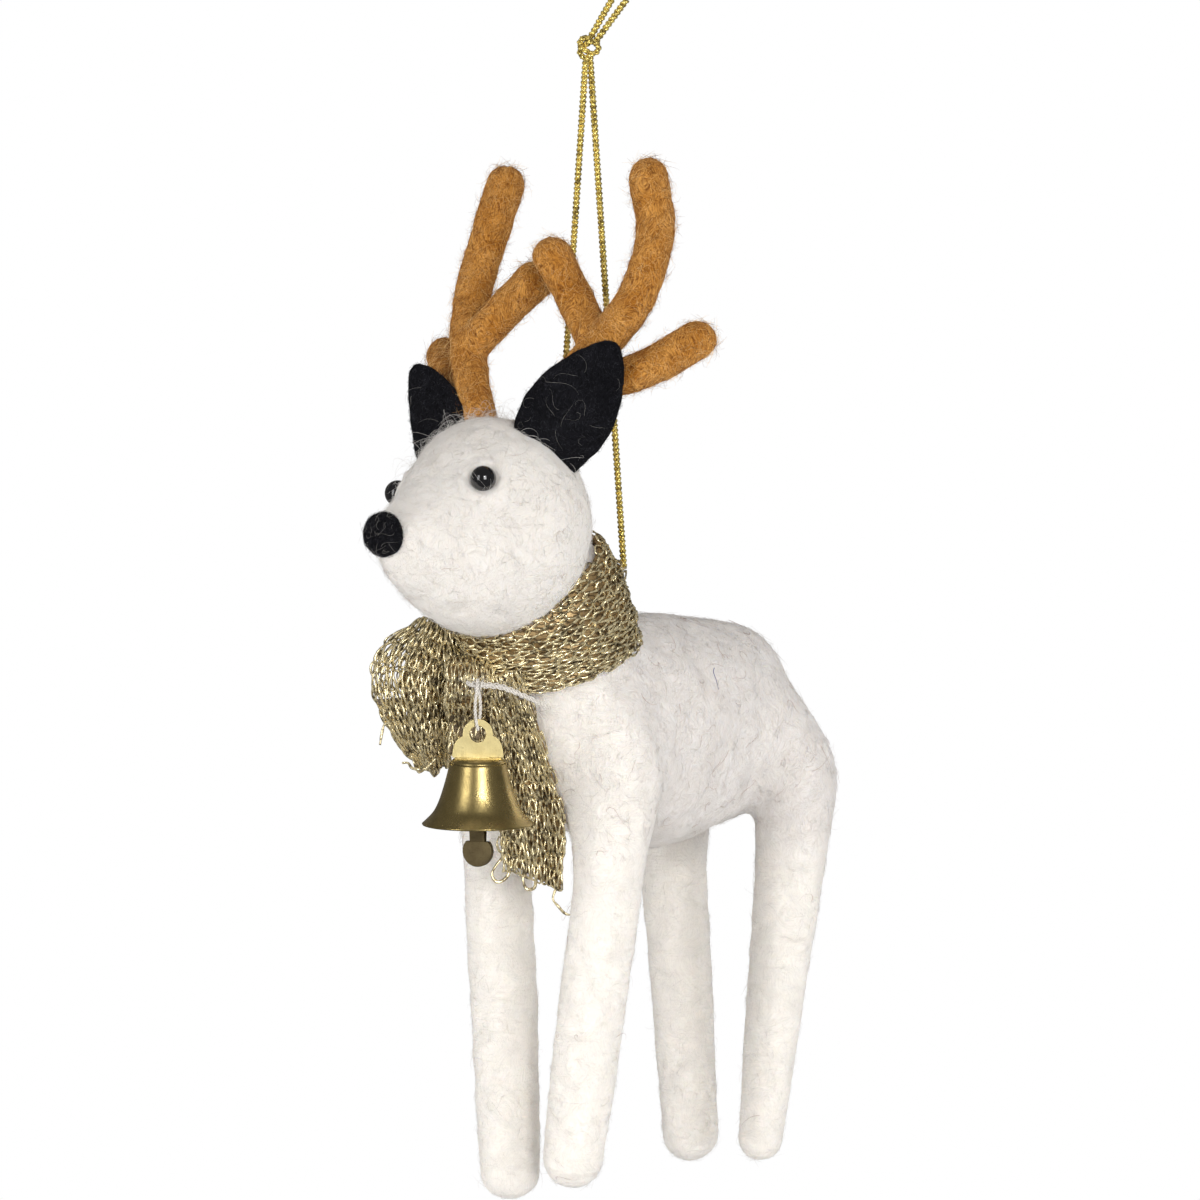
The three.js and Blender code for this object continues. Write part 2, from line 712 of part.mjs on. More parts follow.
for (const side of sides) {
  const { beam, inner, outer } = antlerPaths(side);
  const beamGrown = rod(beam, seatGap, beamSteps);
  const bore = antlerWire(beam, boreDiameter);
  const wire = antlerWire(beam, wireDiameter);
  addMesh(deer, "antler_beam_" + side.name, cut(rod(beam, 0, beamSteps), headGrown, bore), antlerWool);
  const innerRod = rod(inner, 0, tineSteps);
  addMesh(deer, "antler_inner_tine_" + side.name, cut(innerRod, beamGrown), antlerWool);
  const outerRod = rod(outer, 0, tineSteps);
  const innerGrown = rod(inner, seatGap, tineSteps);
  addMesh(deer, "antler_outer_tine_" + side.name, cut(outerRod, beamGrown, innerGrown), antlerWool);
  addMesh(deer, "antler_wire_" + side.name, wire, steel);
  side.antlerBore = bore;
}

// Ears: a cupped leaf of felt let into the wool
// Where the ears stand: back in shares of the head's length, out and up in shares of its half width
// and half height
const earPlaceShares = { left: [0.18, 0.62, 0.7], right: [0.15, 0.62, 0.48] };
const earRiseShares = [0.16, 0.56, 0.82]; // back, out and up
const earAcrossShares = [0.62, 0.5, -0.6];
const earLeafShares = [[0.78], [0.9], [1], [0.96], [0.78], [0.48], [0.1]];
function ear({ name, way }) {
  const rise = vector(earRiseShares[0], way * earRiseShares[1], earRiseShares[2]).normalize();
  const [back, out, up] = earPlaceShares[name];
  const root = onHead(way, back * headLength, (out * headWidth) / 2, (up * headHeight) / 2);
  const across = vector(earAcrossShares[0], way * earAcrossShares[1], earAcrossShares[2]);
  across.applyAxisAngle(rise, way * radians(earTwistDegrees[name]));
  const leaf = alongTable(earLeafShares);
  const forward = way === LEFT ? -1 : 1; // the cup opens to the front on both sides
  return sheet({
    spine: new THREE.LineCurve3(
      root.clone().addScaledVector(rise, -earRootDepth),
      root.clone().addScaledVector(rise, earLength),
    ),
    acrossAt: () => across.clone(),
    halfWidthAt: (share) => (earWidth / 2) * leaf(share)[0],
    liftAt: (share, side) => -forward * earCup * (side ** 2 - 0.4) * leaf(share)[0],
    thickness: earFelt,
    steps: 10,
    columns: 8,
    grow: 0,
  });
}
for (const side of sides) {
  const { beam, outer } = antlerPaths(side);
  const rods = [rod(beam, seatGap, beamSteps), rod(outer, seatGap, tineSteps)];
  addMesh(deer, "ear_" + side.name, cut(ear(side), headGrown, ...rods), blackFelt);
}

// Nose: a domed button of felt on the end of the muzzle
function nose(grow) {
  const dome = new THREE.SphereGeometry(1, 14, 10);
  const radius = noseDiameter / 2 + grow;
  return dome
    .scale(noseLength / 2 + grow, radius, radius)
    .translate(headCentre.x - headLength / 2 + noseLength * 0.06, 0, headCentre.z);
}
addMesh(deer, "nose", cut(nose(0), headGrown), blackFelt);

addMesh(
  deer,
  "head",
  cut(
    head.geometry(),
    bodyGrown,
    spineWire(boreDiameter),
    ...sides.map((side) => side.antlerBore),
    ...sides.map((side) => eye(side, seatGap)),
  ),
  wool,
);
sides.forEach((side, i) => addMesh(deer, "eye_" + side.name, eyeSolids[i], blackGlass));

// The scarf and the cord inside it
addMesh(deer, "scarf_collar", cut(collar(0), bodyGrown, headGrown, cordBore), goldKnit);
const collarGrown = collar(seatGap);
addMesh(deer, "scarf_short_end", cut(shortEnd(0), collarGrown, headGrown, bodyGrown), goldKnit);
const legsGrown = legs.map((leg) => leg.geometry(seatGap));
addMesh(
  deer,
  "scarf_long_end",
  cut(longEnd(0), collarGrown, bodyGrown, shortEnd(seatGap), ...legsGrown),
  goldKnit,
);
addMesh(deer, "cord_inner", cordInner(0, innerEndRound), goldBraid);

// Thread that ties the bell to the crossing of the scarf. One end is knotted into the knitting, it
// runs level where the bell's loop hangs on it, and its tail lies over the scarf. Each place is
// along the chest, forward and up from the hook, in shares of the tail's length.
const threadRadius = threadDiameter / 2;
const bellTurn = radians(bellTurnDegrees);
const tieHook = collarCentre.clone().add(vector(-tieAhead, -tieAside, -tieBelow));
const tieAlong = vector(Math.cos(bellTurn), -Math.sin(bellTurn), 0);
const tieForward = vector(-Math.sin(bellTurn), -Math.cos(bellTurn), 0);
const tieShares = [
  [0.02, -0.5, 0.04],
  [-0.13, -0.18, 0.02],
  [-0.07, 0, 0],
  [0, 0, 0],
  [0.07, 0, 0],
  [0.3, -0.06, -0.03],
  [0.62, -0.06, -0.16],
  [0.92, -0.08, -0.3],
];
const tiePoints = tieShares.map(([along, forward, up]) =>
  tieHook
    .clone()
    .addScaledVector(tieAlong, along * tieLength)
    .addScaledVector(tieForward, forward * tieLength)
    .add(vector(0, 0, up * tieLength)),
);
addMesh(
  deer,
  "thread_tie",
  cut(bar(tiePoints, threadDiameter, wireSides, 16), collarGrown, shortEnd(seatGap), longEnd(seatGap)),
  cotton,
);

// The bell and its loop are made about the loop's lower end, with the hanger plate across X
const bell = new THREE.Group();
bell.position.copy(tieHook).add(vector(0, 0, -threadDrop));
bell.rotation.z = -bellTurn;
deer.add(bell);

const loopFootRadius = plateThickness / 2 + seatGap + threadRadius;
const loopHeadRadius = threadDiameter + seatGap;
const loopTurnSteps = 8;
const loopRings = [];
for (const [radius, height, from] of [
  [loopFootRadius, loopFootRadius, Math.PI],
  [loopHeadRadius, threadDrop, 0],
]) {
  for (let i = 0; i <= loopTurnSteps; i++) {
    const turn = from + (Math.PI * i) / loopTurnSteps;
    const out = vector(0, Math.cos(turn), Math.sin(turn));
    const centre = vector(0, 0, height).addScaledVector(out, radius);
    loopRings.push(
      Array.from({ length: wireSides }, (_, j) => {
        const around = (2 * Math.PI * j) / wireSides;
        return centre
          .clone()
          .addScaledVector(out, threadRadius * Math.cos(around))
          .add(vector(-threadRadius * Math.sin(around), 0, 0));
      }),
    );
  }
}
addMesh(bell, "thread_loop", skin(loopRings), cotton);

// Hanger plate, with a tab that passes down through the crown
const plateBase = -(plateHoleHeight + plateHoleDiameter / 2 - seatGap - threadRadius);
const crownTop = plateBase - seatGap;
const holeCentre = plateBase + plateHoleHeight;
const lobeRadius = plateLobeDiameter / 2;
const shoulderHeight = plateHoleHeight * 0.9;
const lobeStart = Math.asin((shoulderHeight - plateHoleHeight) / lobeRadius);
const tabBottom = crownTop - tabLength;
const tabEnd = tabBottom + tabWidth / 2;
const plate = new THREE.Shape();
plate.moveTo(tabWidth / 2, tabEnd);
plate.lineTo(tabWidth / 2, plateBase);
plate.lineTo(plateWidth / 2, plateBase);
plate.bezierCurveTo(
  plateWidth / 2,
  plateBase + shoulderHeight * 0.6,
  plateWidth / 2 - lobeRadius * 0.3,
  plateBase + shoulderHeight * 0.95,
  lobeRadius * Math.cos(lobeStart),
  plateBase + shoulderHeight,
);
plate.absarc(0, holeCentre, lobeRadius, lobeStart, Math.PI - lobeStart);
plate.bezierCurveTo(
  -plateWidth / 2 + lobeRadius * 0.3,
  plateBase + shoulderHeight * 0.95,
  -plateWidth / 2,
  plateBase + shoulderHeight * 0.6,
  -plateWidth / 2,
  plateBase,
);
plate.lineTo(-tabWidth / 2, plateBase);
plate.lineTo(-tabWidth / 2, tabEnd);
plate.absarc(0, tabEnd, tabWidth / 2, Math.PI, 2 * Math.PI);
const threadHole = new THREE.Path();
threadHole.absarc(0, holeCentre, plateHoleDiameter / 2, 0, 2 * Math.PI, true);
const tabHole = new THREE.Path();
tabHole.absarc(0, tabEnd, tabHoleDiameter / 2, 0, 2 * Math.PI, true);
plate.holes.push(threadHole, tabHole);
const plateGeometry = new THREE.ExtrudeGeometry(plate, {
  depth: plateThickness,
  bevelEnabled: false,
  curveSegments: 8,
});
plateGeometry.translate(0, 0, -plateThickness / 2).rotateX(Math.PI / 2);
addMesh(bell, "bell_hanger", plateGeometry, brass);

// Bell: a thin flared shell with a slot in its crown
const flareShares = [
  [0.2, 0.12],
  [0.44, 0.3],
  [0.67, 0.51],
  [0.84, 0.75],
  [1, 1],
]; // down from the crown, and out from the crown's radius to the mouth's
const crownRadius = bellCrownDiameter / 2;
const mouthRadius = bellMouthDiameter / 2;
function bellProfile(wall) {
  const profile = [new THREE.Vector2(0, -wall)];
  const corner = crownCornerRadius - wall;
  for (const turn of [Math.PI / 2, Math.PI / 4, 0]) {
    const out = crownRadius - crownCornerRadius + corner * Math.cos(turn);
    profile.push(new THREE.Vector2(out, -crownCornerRadius + corner * Math.sin(turn)));
  }
  for (const [down, out] of flareShares) {
    const radius = THREE.MathUtils.lerp(crownRadius, mouthRadius, out) - wall;
    profile.push(new THREE.Vector2(radius, -down * bellHeight));
  }
  return profile;
}
const bellRound = [...bellProfile(bellWall), ...bellProfile(0).reverse()];
const shell = new THREE.LatheGeometry(bellRound, 32).rotateX(Math.PI / 2).translate(0, 0, crownTop);
const slot = new THREE.BoxGeometry(
  tabWidth + 2 * seatGap,
  plateThickness + 2 * seatGap,
  bellWall + 2 * cutOverrun,
).translate(0, 0, crownTop - bellWall / 2);
addMesh(bell, "bell_shell", cut(shell, slot), brass);

// Clapper: a strip folded in two through the tab's hole, with a round end on each leaf
const clapper = new THREE.Group();
const hookDrop = tabHoleDiameter / 8; // the fold hangs low in the hole
clapper.position.z = tabEnd - hookDrop;
clapper.rotation.z = -radians(clapperTurnDegrees);
bell.add(clapper);
const leafOffset = (tabWidth / 2) * Math.sin(radians(clapperTurnDegrees)) + plateThickness / 2 + seatGap / 2;
const leafBottom = crownTop - bellHeight - clapperBelowRim - clapper.position.z;
const endRadius = clapperEndDiameter / 2;
const endCentre = leafBottom + endRadius;
const endStart = Math.acos(clapperWidth / 2 / endRadius);
const leaf = new THREE.Shape();
leaf.moveTo(-clapperWidth / 2, -clapperThickness / 2 - clapperNeckWidth / 2);
leaf.lineTo(-clapperNeckWidth / 2, clapperThickness / 2);
leaf.lineTo(clapperNeckWidth / 2, clapperThickness / 2);
leaf.lineTo(clapperWidth / 2, -clapperThickness / 2 - clapperNeckWidth / 2);
leaf.absarc(0, endCentre, endRadius, endStart, Math.PI - endStart, true);
const leafGeometry = (way) =>
  new THREE.ExtrudeGeometry(leaf, { depth: clapperThickness, bevelEnabled: false, curveSegments: 12 })
    .rotateX(Math.PI / 2)
    .translate(0, clapperThickness / 2 + way * (leafOffset + clapperThickness / 2), 0);
const fold = new THREE.BoxGeometry(clapperNeckWidth, 2 * leafOffset + clapperThickness, clapperThickness);
const clapperSolid = toSolid(leafGeometry(1)).add(toSolid(leafGeometry(-1))).add(toSolid(fold));
addMesh(clapper, "bell_clapper", clapperSolid, brass);

// Knot, strands and cut tails of the hanging cord
const knotCentre = vector(0, 0, knotLength / 2 + seatGap);
function knot(grow) {
  const round = new THREE.SphereGeometry(1, 12, 10);
  const half = knotWidth / 2 + grow;
  return round.scale(half * 0.8, half, knotLength / 2 + grow).translate(...knotCentre);
}
addMesh(ornament, "cord_knot", knot(0), goldBraid);
const strandTop = cordRadius + seatGap / 2; // the strands lie one behind the other under the knot
const strandTurn = radians(strandTurnDegrees);
const strandRings = 10;
for (const { name, way } of sides) {
  const foot = vector(0, (way * loopWidth) / 2, -loopDrop);
  const beside = vector(Math.cos(strandTurn), Math.sin(strandTurn), 0).multiplyScalar(-way * strandTop);
  const top = knotCentre.clone().add(beside);
  const strand = limb(new THREE.LineCurve3(foot, top), () => cordRadius, cordSides, strandRings);
  addMesh(ornament, "cord_strand_" + name, cut(strand, knot(seatGap)), goldBraid);
  const lean = radians(tailLeanDegrees - (way * tailSpreadDegrees) / 2);
  const tailUp = vector(0, 0, Math.cos(lean)).addScaledVector(tieAlong, Math.sin(lean));
  const root = knotCentre.clone().add(vector(0, way * strandTop, 0));
  const tail = [root, root.clone().addScaledVector(tailUp, knotLength / 2 + tailLength)];
  const tailSolid = cut(bar(tail, cordDiameter, cordSides, 3), knot(seatGap));
  addMesh(ornament, "cord_tail_" + name, tailSolid, goldBraid);
}

export default ornament;
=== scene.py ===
"""Looks of a needle-felted reindeer ornament that hangs on a braided cord.

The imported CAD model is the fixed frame, and each sub-assembly here dresses its nodes or stands for
them. Sizes and places are in millimetres, in the frame's axes, and become metres when a mesh is
made. The reindeer faces -X, its left side is towards -Y, and the origin is under the cord's knot.
"""

from __future__ import annotations

import logging
import math
from dataclasses import dataclass, field
from enum import Enum
from typing import Any, Callable, NamedTuple, Sequence

import bmesh
import bpy
import numpy as np
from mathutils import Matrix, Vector

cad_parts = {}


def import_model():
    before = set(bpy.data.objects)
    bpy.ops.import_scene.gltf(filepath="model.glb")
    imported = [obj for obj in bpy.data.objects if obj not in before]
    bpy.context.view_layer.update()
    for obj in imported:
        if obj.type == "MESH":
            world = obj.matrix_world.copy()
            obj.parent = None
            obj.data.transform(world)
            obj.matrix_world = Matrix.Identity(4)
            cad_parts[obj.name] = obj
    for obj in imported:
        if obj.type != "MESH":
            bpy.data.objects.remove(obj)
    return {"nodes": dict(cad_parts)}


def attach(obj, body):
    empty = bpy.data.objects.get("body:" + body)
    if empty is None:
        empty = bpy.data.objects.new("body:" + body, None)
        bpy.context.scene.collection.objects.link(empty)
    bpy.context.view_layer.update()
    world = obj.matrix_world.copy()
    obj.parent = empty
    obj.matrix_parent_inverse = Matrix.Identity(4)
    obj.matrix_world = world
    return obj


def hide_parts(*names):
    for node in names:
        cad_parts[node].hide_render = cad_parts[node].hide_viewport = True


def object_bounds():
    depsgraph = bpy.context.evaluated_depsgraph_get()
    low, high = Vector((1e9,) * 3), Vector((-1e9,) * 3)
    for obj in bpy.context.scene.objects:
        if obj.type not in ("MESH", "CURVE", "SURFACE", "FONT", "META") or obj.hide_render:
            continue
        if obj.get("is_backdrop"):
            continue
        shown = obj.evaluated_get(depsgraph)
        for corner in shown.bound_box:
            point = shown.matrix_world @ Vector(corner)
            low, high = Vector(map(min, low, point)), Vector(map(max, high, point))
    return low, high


LOG = logging.getLogger("ornament")
MM = 0.001
AHEAD, ASIDE, UP = np.eye(3)
Array = np.ndarray
Carry = Callable[[Array], Array]
Colour = tuple[float, float, float]
Material = bpy.types.Material
Mesh = bpy.types.Mesh
NodeTree = bpy.types.NodeTree
Object = bpy.types.Object
Socket = bpy.types.NodeSocket


class Side(Enum):
    """The reindeer's own sides, with their direction along Y."""

    LEFT = -1
    RIGHT = 1

    @property
    def label(self) -> str:
        """The side's name in node and piece names."""
        return self.name.lower()


class Ends(Enum):
    """How a skin over rings of places ends."""

    POLES = "each end closes on the middle of its ring"
    JOINED = "the last ring joins the first"
    FLAT = "each ring runs out one way and back the other, and its two runs join"


class Shell(NamedTuple):
    """The places and faces of one mesh."""

    points: Array
    quads: Array
    tris: Array


def sizes(**values: float) -> Any:
    """A dataclass field that holds several sizes by name."""
    return field(default_factory=lambda: dict(values))


def unit(vectors: Array) -> Array:
    """Vectors at length one."""
    return vectors / np.linalg.norm(vectors, axis=-1, keepdims=True)


def smoothstep(low: float, high: float, values: Array) -> Array:
    """0 below low, 1 above high, and t * t * (3 - 2 * t) between them."""
    t = np.clip((values - low) / (high - low), 0, 1)
    return t * t * (3 - 2 * t)


def table(rows: Sequence, shares: Array) -> Array:
    """Reads a smooth line through rows that stand at equal steps of 0 to 1.

    Between two rows it is the cubic whose slope at each row is half the step from the row before
    to the row after.

    Args:
        rows: numbers, or rows of numbers.
        shares: where to read, from 0 to 1.

    Returns:
        One value, or one row, for each share.
    """
    rows = np.asarray(rows, float)
    last = len(rows) - 1
    at = np.clip(np.asarray(shares, float), 0, 1) * last
    i = np.minimum(at.astype(int), last - 1)
    t = at - i
    if rows.ndim > 1:
        t = t[..., None]
    padded = np.concatenate([rows[1:2], rows, rows[-2:-1]])
    a, b, c, d = (padded[i + k] for k in range(4))
    return b + 0.5 * t * (c - a + t * (2 * a - 5 * b + 4 * c - d + t * (3 * (b - c) + d - a)))


def smooth_path(points: Sequence, count: int) -> Array:
    """Places at equal distances along a centripetal Catmull-Rom curve.

    Each stretch is the cubic through its two points whose slopes weigh the neighbouring steps by
    the square roots of their lengths.

    Args:
        points: the places the curve goes through.
        count: how many places to return.

    Returns:
        The places, shaped (count, 3).
    """
    p = np.asarray(points, float)
    whole = np.vstack([2 * p[0] - p[1], p, 2 * p[-1] - p[-2]])
    a, b, c, d = whole[:-3], whole[1:-2], whole[2:-1], whole[3:]
    e, f, g = (np.linalg.norm(y - x, axis=1)[:, None] ** 0.5 for x, y in ((a, b), (b, c), (c, d)))
    start = ((b - a) / e - (c - a) / (e + f) + (c - b) / f) * f
    stop = ((c - b) / f - (d - b) / (f + g) + (d - c) / g) * f
    t = np.linspace(0, 1, 60, endpoint=False)[None, :, None]
    b, c, start, stop = (x[:, None, :] for x in (b, c, start, stop))
    curve = b + t * (start + t * (3 * (c - b) - 2 * start - stop + t * (2 * (b - c) + start + stop)))
    curve = np.vstack([curve.reshape(-1, 3), p[-1]])
    return spaced(curve, count)


def run_along(path: Array) -> Array:
    """How far along a line of places each one stands."""
    return np.concatenate([[0], np.cumsum(np.linalg.norm(np.diff(path, axis=0), axis=1))])


def spaced(curve: Array, count: int) -> Array:
    """Places at equal distances along a line of places."""
    run = run_along(curve)
    at = np.linspace(0, run[-1], count)
    return np.stack([np.interp(at, run, curve[:, k]) for k in range(3)], -1)


def path_length(path: Array) -> float:
    """The length of a line of places."""
    return float(np.linalg.norm(np.diff(path, axis=0), axis=1).sum())


def full_turn(count: int) -> Array:
    """Angles at equal steps round a circle."""
    return 2 * np.pi * np.arange(count) / count


def turned(angle: Array, side: Array, across: Array) -> Array:
    """Directions at an angle from side towards across: cos(angle) * side + sin(angle) * across."""
    return np.cos(angle)[..., None] * side + np.sin(angle)[..., None] * across


def frames(path: Array, lean: Array) -> tuple[Array, Array, Array]:
    """Directions along paths: onwards, the part of lean square to that, and across both.

    Args:
        path: places, shaped (..., places, 3).
        lean: a direction, or one for each place, that is nowhere along the path.

    Returns:
        The three directions, each shaped as path.
    """
    onward = unit(np.gradient(path, axis=-2))
    side = unit(lean - (lean * onward).sum(-1, keepdims=True) * onward)
    return onward, side, np.cross(onward, side)


def skin(rings: Array, ends: Ends = Ends.POLES) -> Shell:
    """Closed skins over rings of places.

    Args:
        rings: shaped (skins, rings, places, 3) or (rings, places, 3). Each ring turns right-handed
            about the way to the next.
        ends: how each skin ends.

    Returns:
        The skins as one shell.
    """
    rings = rings if rings.ndim == 4 else rings[None]
    skins, count, sides, _ = rings.shape
    index = np.arange(skins * count * sides).reshape(skins, count, sides)
    here, ahead = index[:, :-1], index[:, 1:]
    if ends is Ends.JOINED:
        here, ahead = index, np.roll(index, -1, 1)
    quads = np.stack([here, np.roll(here, -1, 2), np.roll(ahead, -1, 2), ahead], -1).reshape(-1, 4)
    points = rings.reshape(-1, 3)
    tris = np.zeros((0, 3), int)
    first, last = index[:, 0], index[:, -1]
    if ends is Ends.FLAT:
        half = sides // 2
        j = np.arange(half - 1)
        corners = [j, j + 1, sides - 2 - j, sides - 1 - j]
        start = np.stack([first[:, k] for k in reversed(corners)], -1).reshape(-1, 4)
        stop = np.stack([last[:, k] for k in corners], -1).reshape(-1, 4)
        quads = np.vstack([quads, start, stop])
    elif ends is Ends.POLES:
        low = np.repeat(len(points) + np.arange(skins), sides)
        high = low + skins
        points = np.vstack([points, rings[:, 0].mean(1), rings[:, -1].mean(1)])
        tris = np.vstack(
            [
                np.stack([low, np.roll(first, -1, 1).ravel(), first.ravel()], -1),
                np.stack([high, last.ravel(), np.roll(last, -1, 1).ravel()], -1),
            ]
        )
    return Shell(points, quads, tris)


def tube(
    path: Array,
    radius: float | Array,
    sides: int,
    lean: Array,
    flatten: float = 1.0,
    twist: float | Array = 0.0,
    ends: Ends = Ends.POLES,
) -> Shell:
    """Round or oval tubes along paths.

    A ring's places are centre + radius * (cos(a) * flatten * side + sin(a) * across), where the
    angle a starts at twist.

    Args:
        path: places, shaped (..., places, 3).
        radius: one for all, or one for each place.
        sides: places in a ring.
        lean: the direction that is nowhere along the path.
        flatten: thickness along lean, in shares of the width.
        twist: turn of the section, in radians.
        ends: how each tube ends.

    Returns:
        The tubes as one shell.
    """
    _, side, across = frames(path, lean)
    turn = full_turn(sides)
    radius = np.broadcast_to(radius, path.shape[:-1])[..., None, None]
    twist = np.broadcast_to(twist, path.shape[:-1])[..., None, None]
    x, y = np.cos(turn)[:, None] * flatten, np.sin(turn)[:, None]
    u, v = x * np.cos(twist) - y * np.sin(twist), x * np.sin(twist) + y * np.cos(twist)
    rings = path[..., None, :] + radius * (u * side[..., None, :] + v * across[..., None, :])
    return skin(rings, ends)


def joined(shells: Sequence[Shell]) -> Shell:
    """Several shells as one."""
    starts = np.cumsum([0] + [len(s.points) for s in shells[:-1]])
    return Shell(
        np.vstack([s.points for s in shells]),
        np.vstack([s.quads.reshape(-1, 4) + k for s, k in zip(shells, starts)]),
        np.vstack([s.tris.reshape(-1, 3) + k for s, k in zip(shells, starts)]),
    )


def limb(path: Array, radii: Array, sides: int, lean: Array, end_round: float = 1.0) -> Shell:
    """A round limb along a path, with rounded ends.

    An end's rings stand at end_round * r * sin(a) beyond it with the radius r * cos(a), for a from
    0 to a right angle.

    Args:
        path: its middle line.
        radii: its radius at each place.
        sides: places in a ring.
        lean: the direction that is nowhere along the path.
        end_round: how far the ends bulge, in shares of their radius.

    Returns:
        The limb.
    """
    onward, side, across = frames(path, lean)
    bulge = np.linspace(0, np.pi / 2, 9)[1:-1]
    extra, count = len(bulge), len(path)
    order = np.concatenate([np.zeros(extra, int), np.arange(count), np.full(extra, count - 1)])
    out = np.concatenate([-np.sin(bulge[::-1]), np.zeros(count), np.sin(bulge)])
    share = np.concatenate([np.cos(bulge[::-1]), np.ones(count), np.cos(bulge)])
    radius = np.asarray(radii)[order]
    centre = path[order] + onward[order] * (end_round * radius * out)[:, None]
    ring = turned(full_turn(sides), side[order][:, None], across[order][:, None])
    return skin(centre[:, None] + (radius * share)[:, None, None] * ring)


def ripple(points: Array, size: float, seed: int, waves: int = 14) -> Array:
    """A smooth random field over places: the sum of sines of waves in random directions.

    Args:
        points: places in millimetres.
        size: the length of a wave, in millimetres.
        seed: which field.
        waves: how many sines.

    Returns:
        One value for each place, mostly from -1 to 1.
    """
    rng = np.random.default_rng(seed)
    ways = unit(rng.normal(size=(waves, 3)))
    ways = ways * (2 * np.pi / size) * rng.uniform(0.6, 1.5, (waves, 1))
    phase = rng.uniform(0, 2 * np.pi, waves)
    return np.sin(points @ ways.T + phase).sum(-1) / math.sqrt(waves)


def mesh_from(name: str, shell: Shell, smooth: bool = True) -> Mesh:
    """A mesh in metres from a shell in millimetres."""
    mesh = bpy.data.meshes.new(name)
    mesh.vertices.add(len(shell.points))
    mesh.vertices.foreach_set("co", (shell.points * MM).astype(np.float32).ravel())
    corners = np.concatenate([shell.quads.ravel(), shell.tris.ravel()]).astype(np.int32)
    totals = np.concatenate([np.full(len(shell.quads), 4), np.full(len(shell.tris), 3)])
    starts = np.concatenate([[0], np.cumsum(totals)[:-1]])
    mesh.loops.add(len(corners))
    mesh.loops.foreach_set("vertex_index", corners)
    mesh.polygons.add(len(totals))
    mesh.polygons.foreach_set("loop_start", starts.astype(np.int32))
    mesh.polygons.foreach_set("use_smooth", np.full(len(totals), smooth))
    mesh.update(calc_edges=True)
    mesh.validate()
    return mesh


def linked(name: str, data: Any) -> Object:
    """A new object in the scene."""
    made = bpy.data.objects.new(name, data)
    bpy.context.scene.collection.objects.link(made)
    return made


def add_piece(
    name: str,
    mesh: Mesh,
    material: Material,
    slot: str,
    nodes: Sequence[str] = (),
    body: str = "reindeer",
) -> Object:
    """Puts a piece in the scene.

    Args:
        name: the piece's name.
        mesh: its mesh, in place.
        material: its finish.
        slot: not used.
        nodes: the CAD nodes it stands for.
        body: the CAD body it moves with.

    Returns:
        The object.
    """
    piece = linked(name, mesh)
    mesh.materials.clear()
    mesh.materials.append(material)
    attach(piece, body)
    if nodes:
        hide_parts(*nodes)
    LOG.info("%s: %d faces on %s", name, len(mesh.polygons), body)
    return piece


def set_attribute(mesh: Mesh, name: str, values: Array) -> None:
    """Stores one number for each place of a mesh."""
    attribute = mesh.attributes.new(name, "FLOAT", "POINT")
    attribute.data.foreach_set("value", np.asarray(values, np.float32).ravel())


def vectors_of(items: Any, key: str) -> Array:
    """One property of three numbers, read from each of a mesh's items."""
    flat = np.zeros(len(items) * 3, np.float32)
    items.foreach_get(key, flat)
    return flat.reshape(-1, 3).astype(float)


def places_of(mesh: Mesh) -> Array:
    """A mesh's places, in millimetres."""
    return vectors_of(mesh.vertices, "co") / MM


def normals_of(mesh: Mesh) -> Array:
    """The direction a mesh faces at each of its places."""
    return vectors_of(mesh.vertex_normals, "vector")


def move_places(mesh: Mesh, places: Array) -> None:
    """Puts a mesh's places where they are given, in millimetres."""
    mesh.vertices.foreach_set("co", (places * MM).astype(np.float32).ravel())
    mesh.update()


def push_out(mesh: Mesh, amounts: Array) -> None:
    """Moves each of a mesh's places outwards by its own amount, in millimetres."""
    move_places(mesh, places_of(mesh) + normals_of(mesh) * amounts[:, None])


def evaluated(name: str, source: Object) -> Mesh:
    """The mesh that an object comes out as, after which the object is removed."""
    graph = bpy.context.evaluated_depsgraph_get()
    mesh = bpy.data.meshes.new_from_object(source.evaluated_get(graph))
    mesh.name = name
    bpy.data.objects.remove(source)
    return mesh


def fused(name: str, shells: Sequence[Shell], voxel: float, smoothing: int) -> Mesh:
    """Overlapping shells felted into one skin.

    They are filled with voxels and skinned again, and each place then moves half of the way to the
    middle of its neighbours, so that the joins round off.

    Args:
        name: the mesh's name.
        shells: the closed shells.
        voxel: the size of a voxel, in millimetres.
        smoothing: how many times the places move.

    Returns:
        The skin.
    """
    rough = linked(name + "_rough", mesh_from(name + "_rough", joined(shells)))
    remesh = rough.modifiers.new("Remesh", "REMESH")
    remesh.mode = "VOXEL"
    remesh.voxel_size = voxel * MM
    smooth = rough.modifiers.new("Smooth", "SMOOTH")
    smooth.factor = 0.5
    smooth.iterations = smoothing
    mesh = evaluated(name, rough)
    mesh.polygons.foreach_set("use_smooth", np.ones(len(mesh.polygons), bool))
    mesh.update()
    return mesh


def relaxed(mesh: Mesh, weight: Array, times: int) -> Array:
    """A mesh's places, each moved weight / 2 of the way to the middle of its neighbours, times over.

    Args:
        mesh: the mesh, which stays as it is.
        weight: from 0 to 1 for each place.
        times: how often they move.

    Returns:
        The places, in millimetres.
    """
    ends = np.zeros(len(mesh.edges) * 2, np.int32)
    mesh.edges.foreach_get("vertices", ends)
    here, there = ends.reshape(-1, 2).T
    places = places_of(mesh)
    count = len(places)
    own, other = np.concatenate([here, there]), np.concatenate([there, here])
    share = (0.5 * weight / np.bincount(own, minlength=count))[:, None]
    for _ in range(times):
        total = np.stack([np.bincount(own, places[other, k], count) for k in range(3)], -1)
        places = places + share * total - 0.5 * weight[:, None] * places
    return places


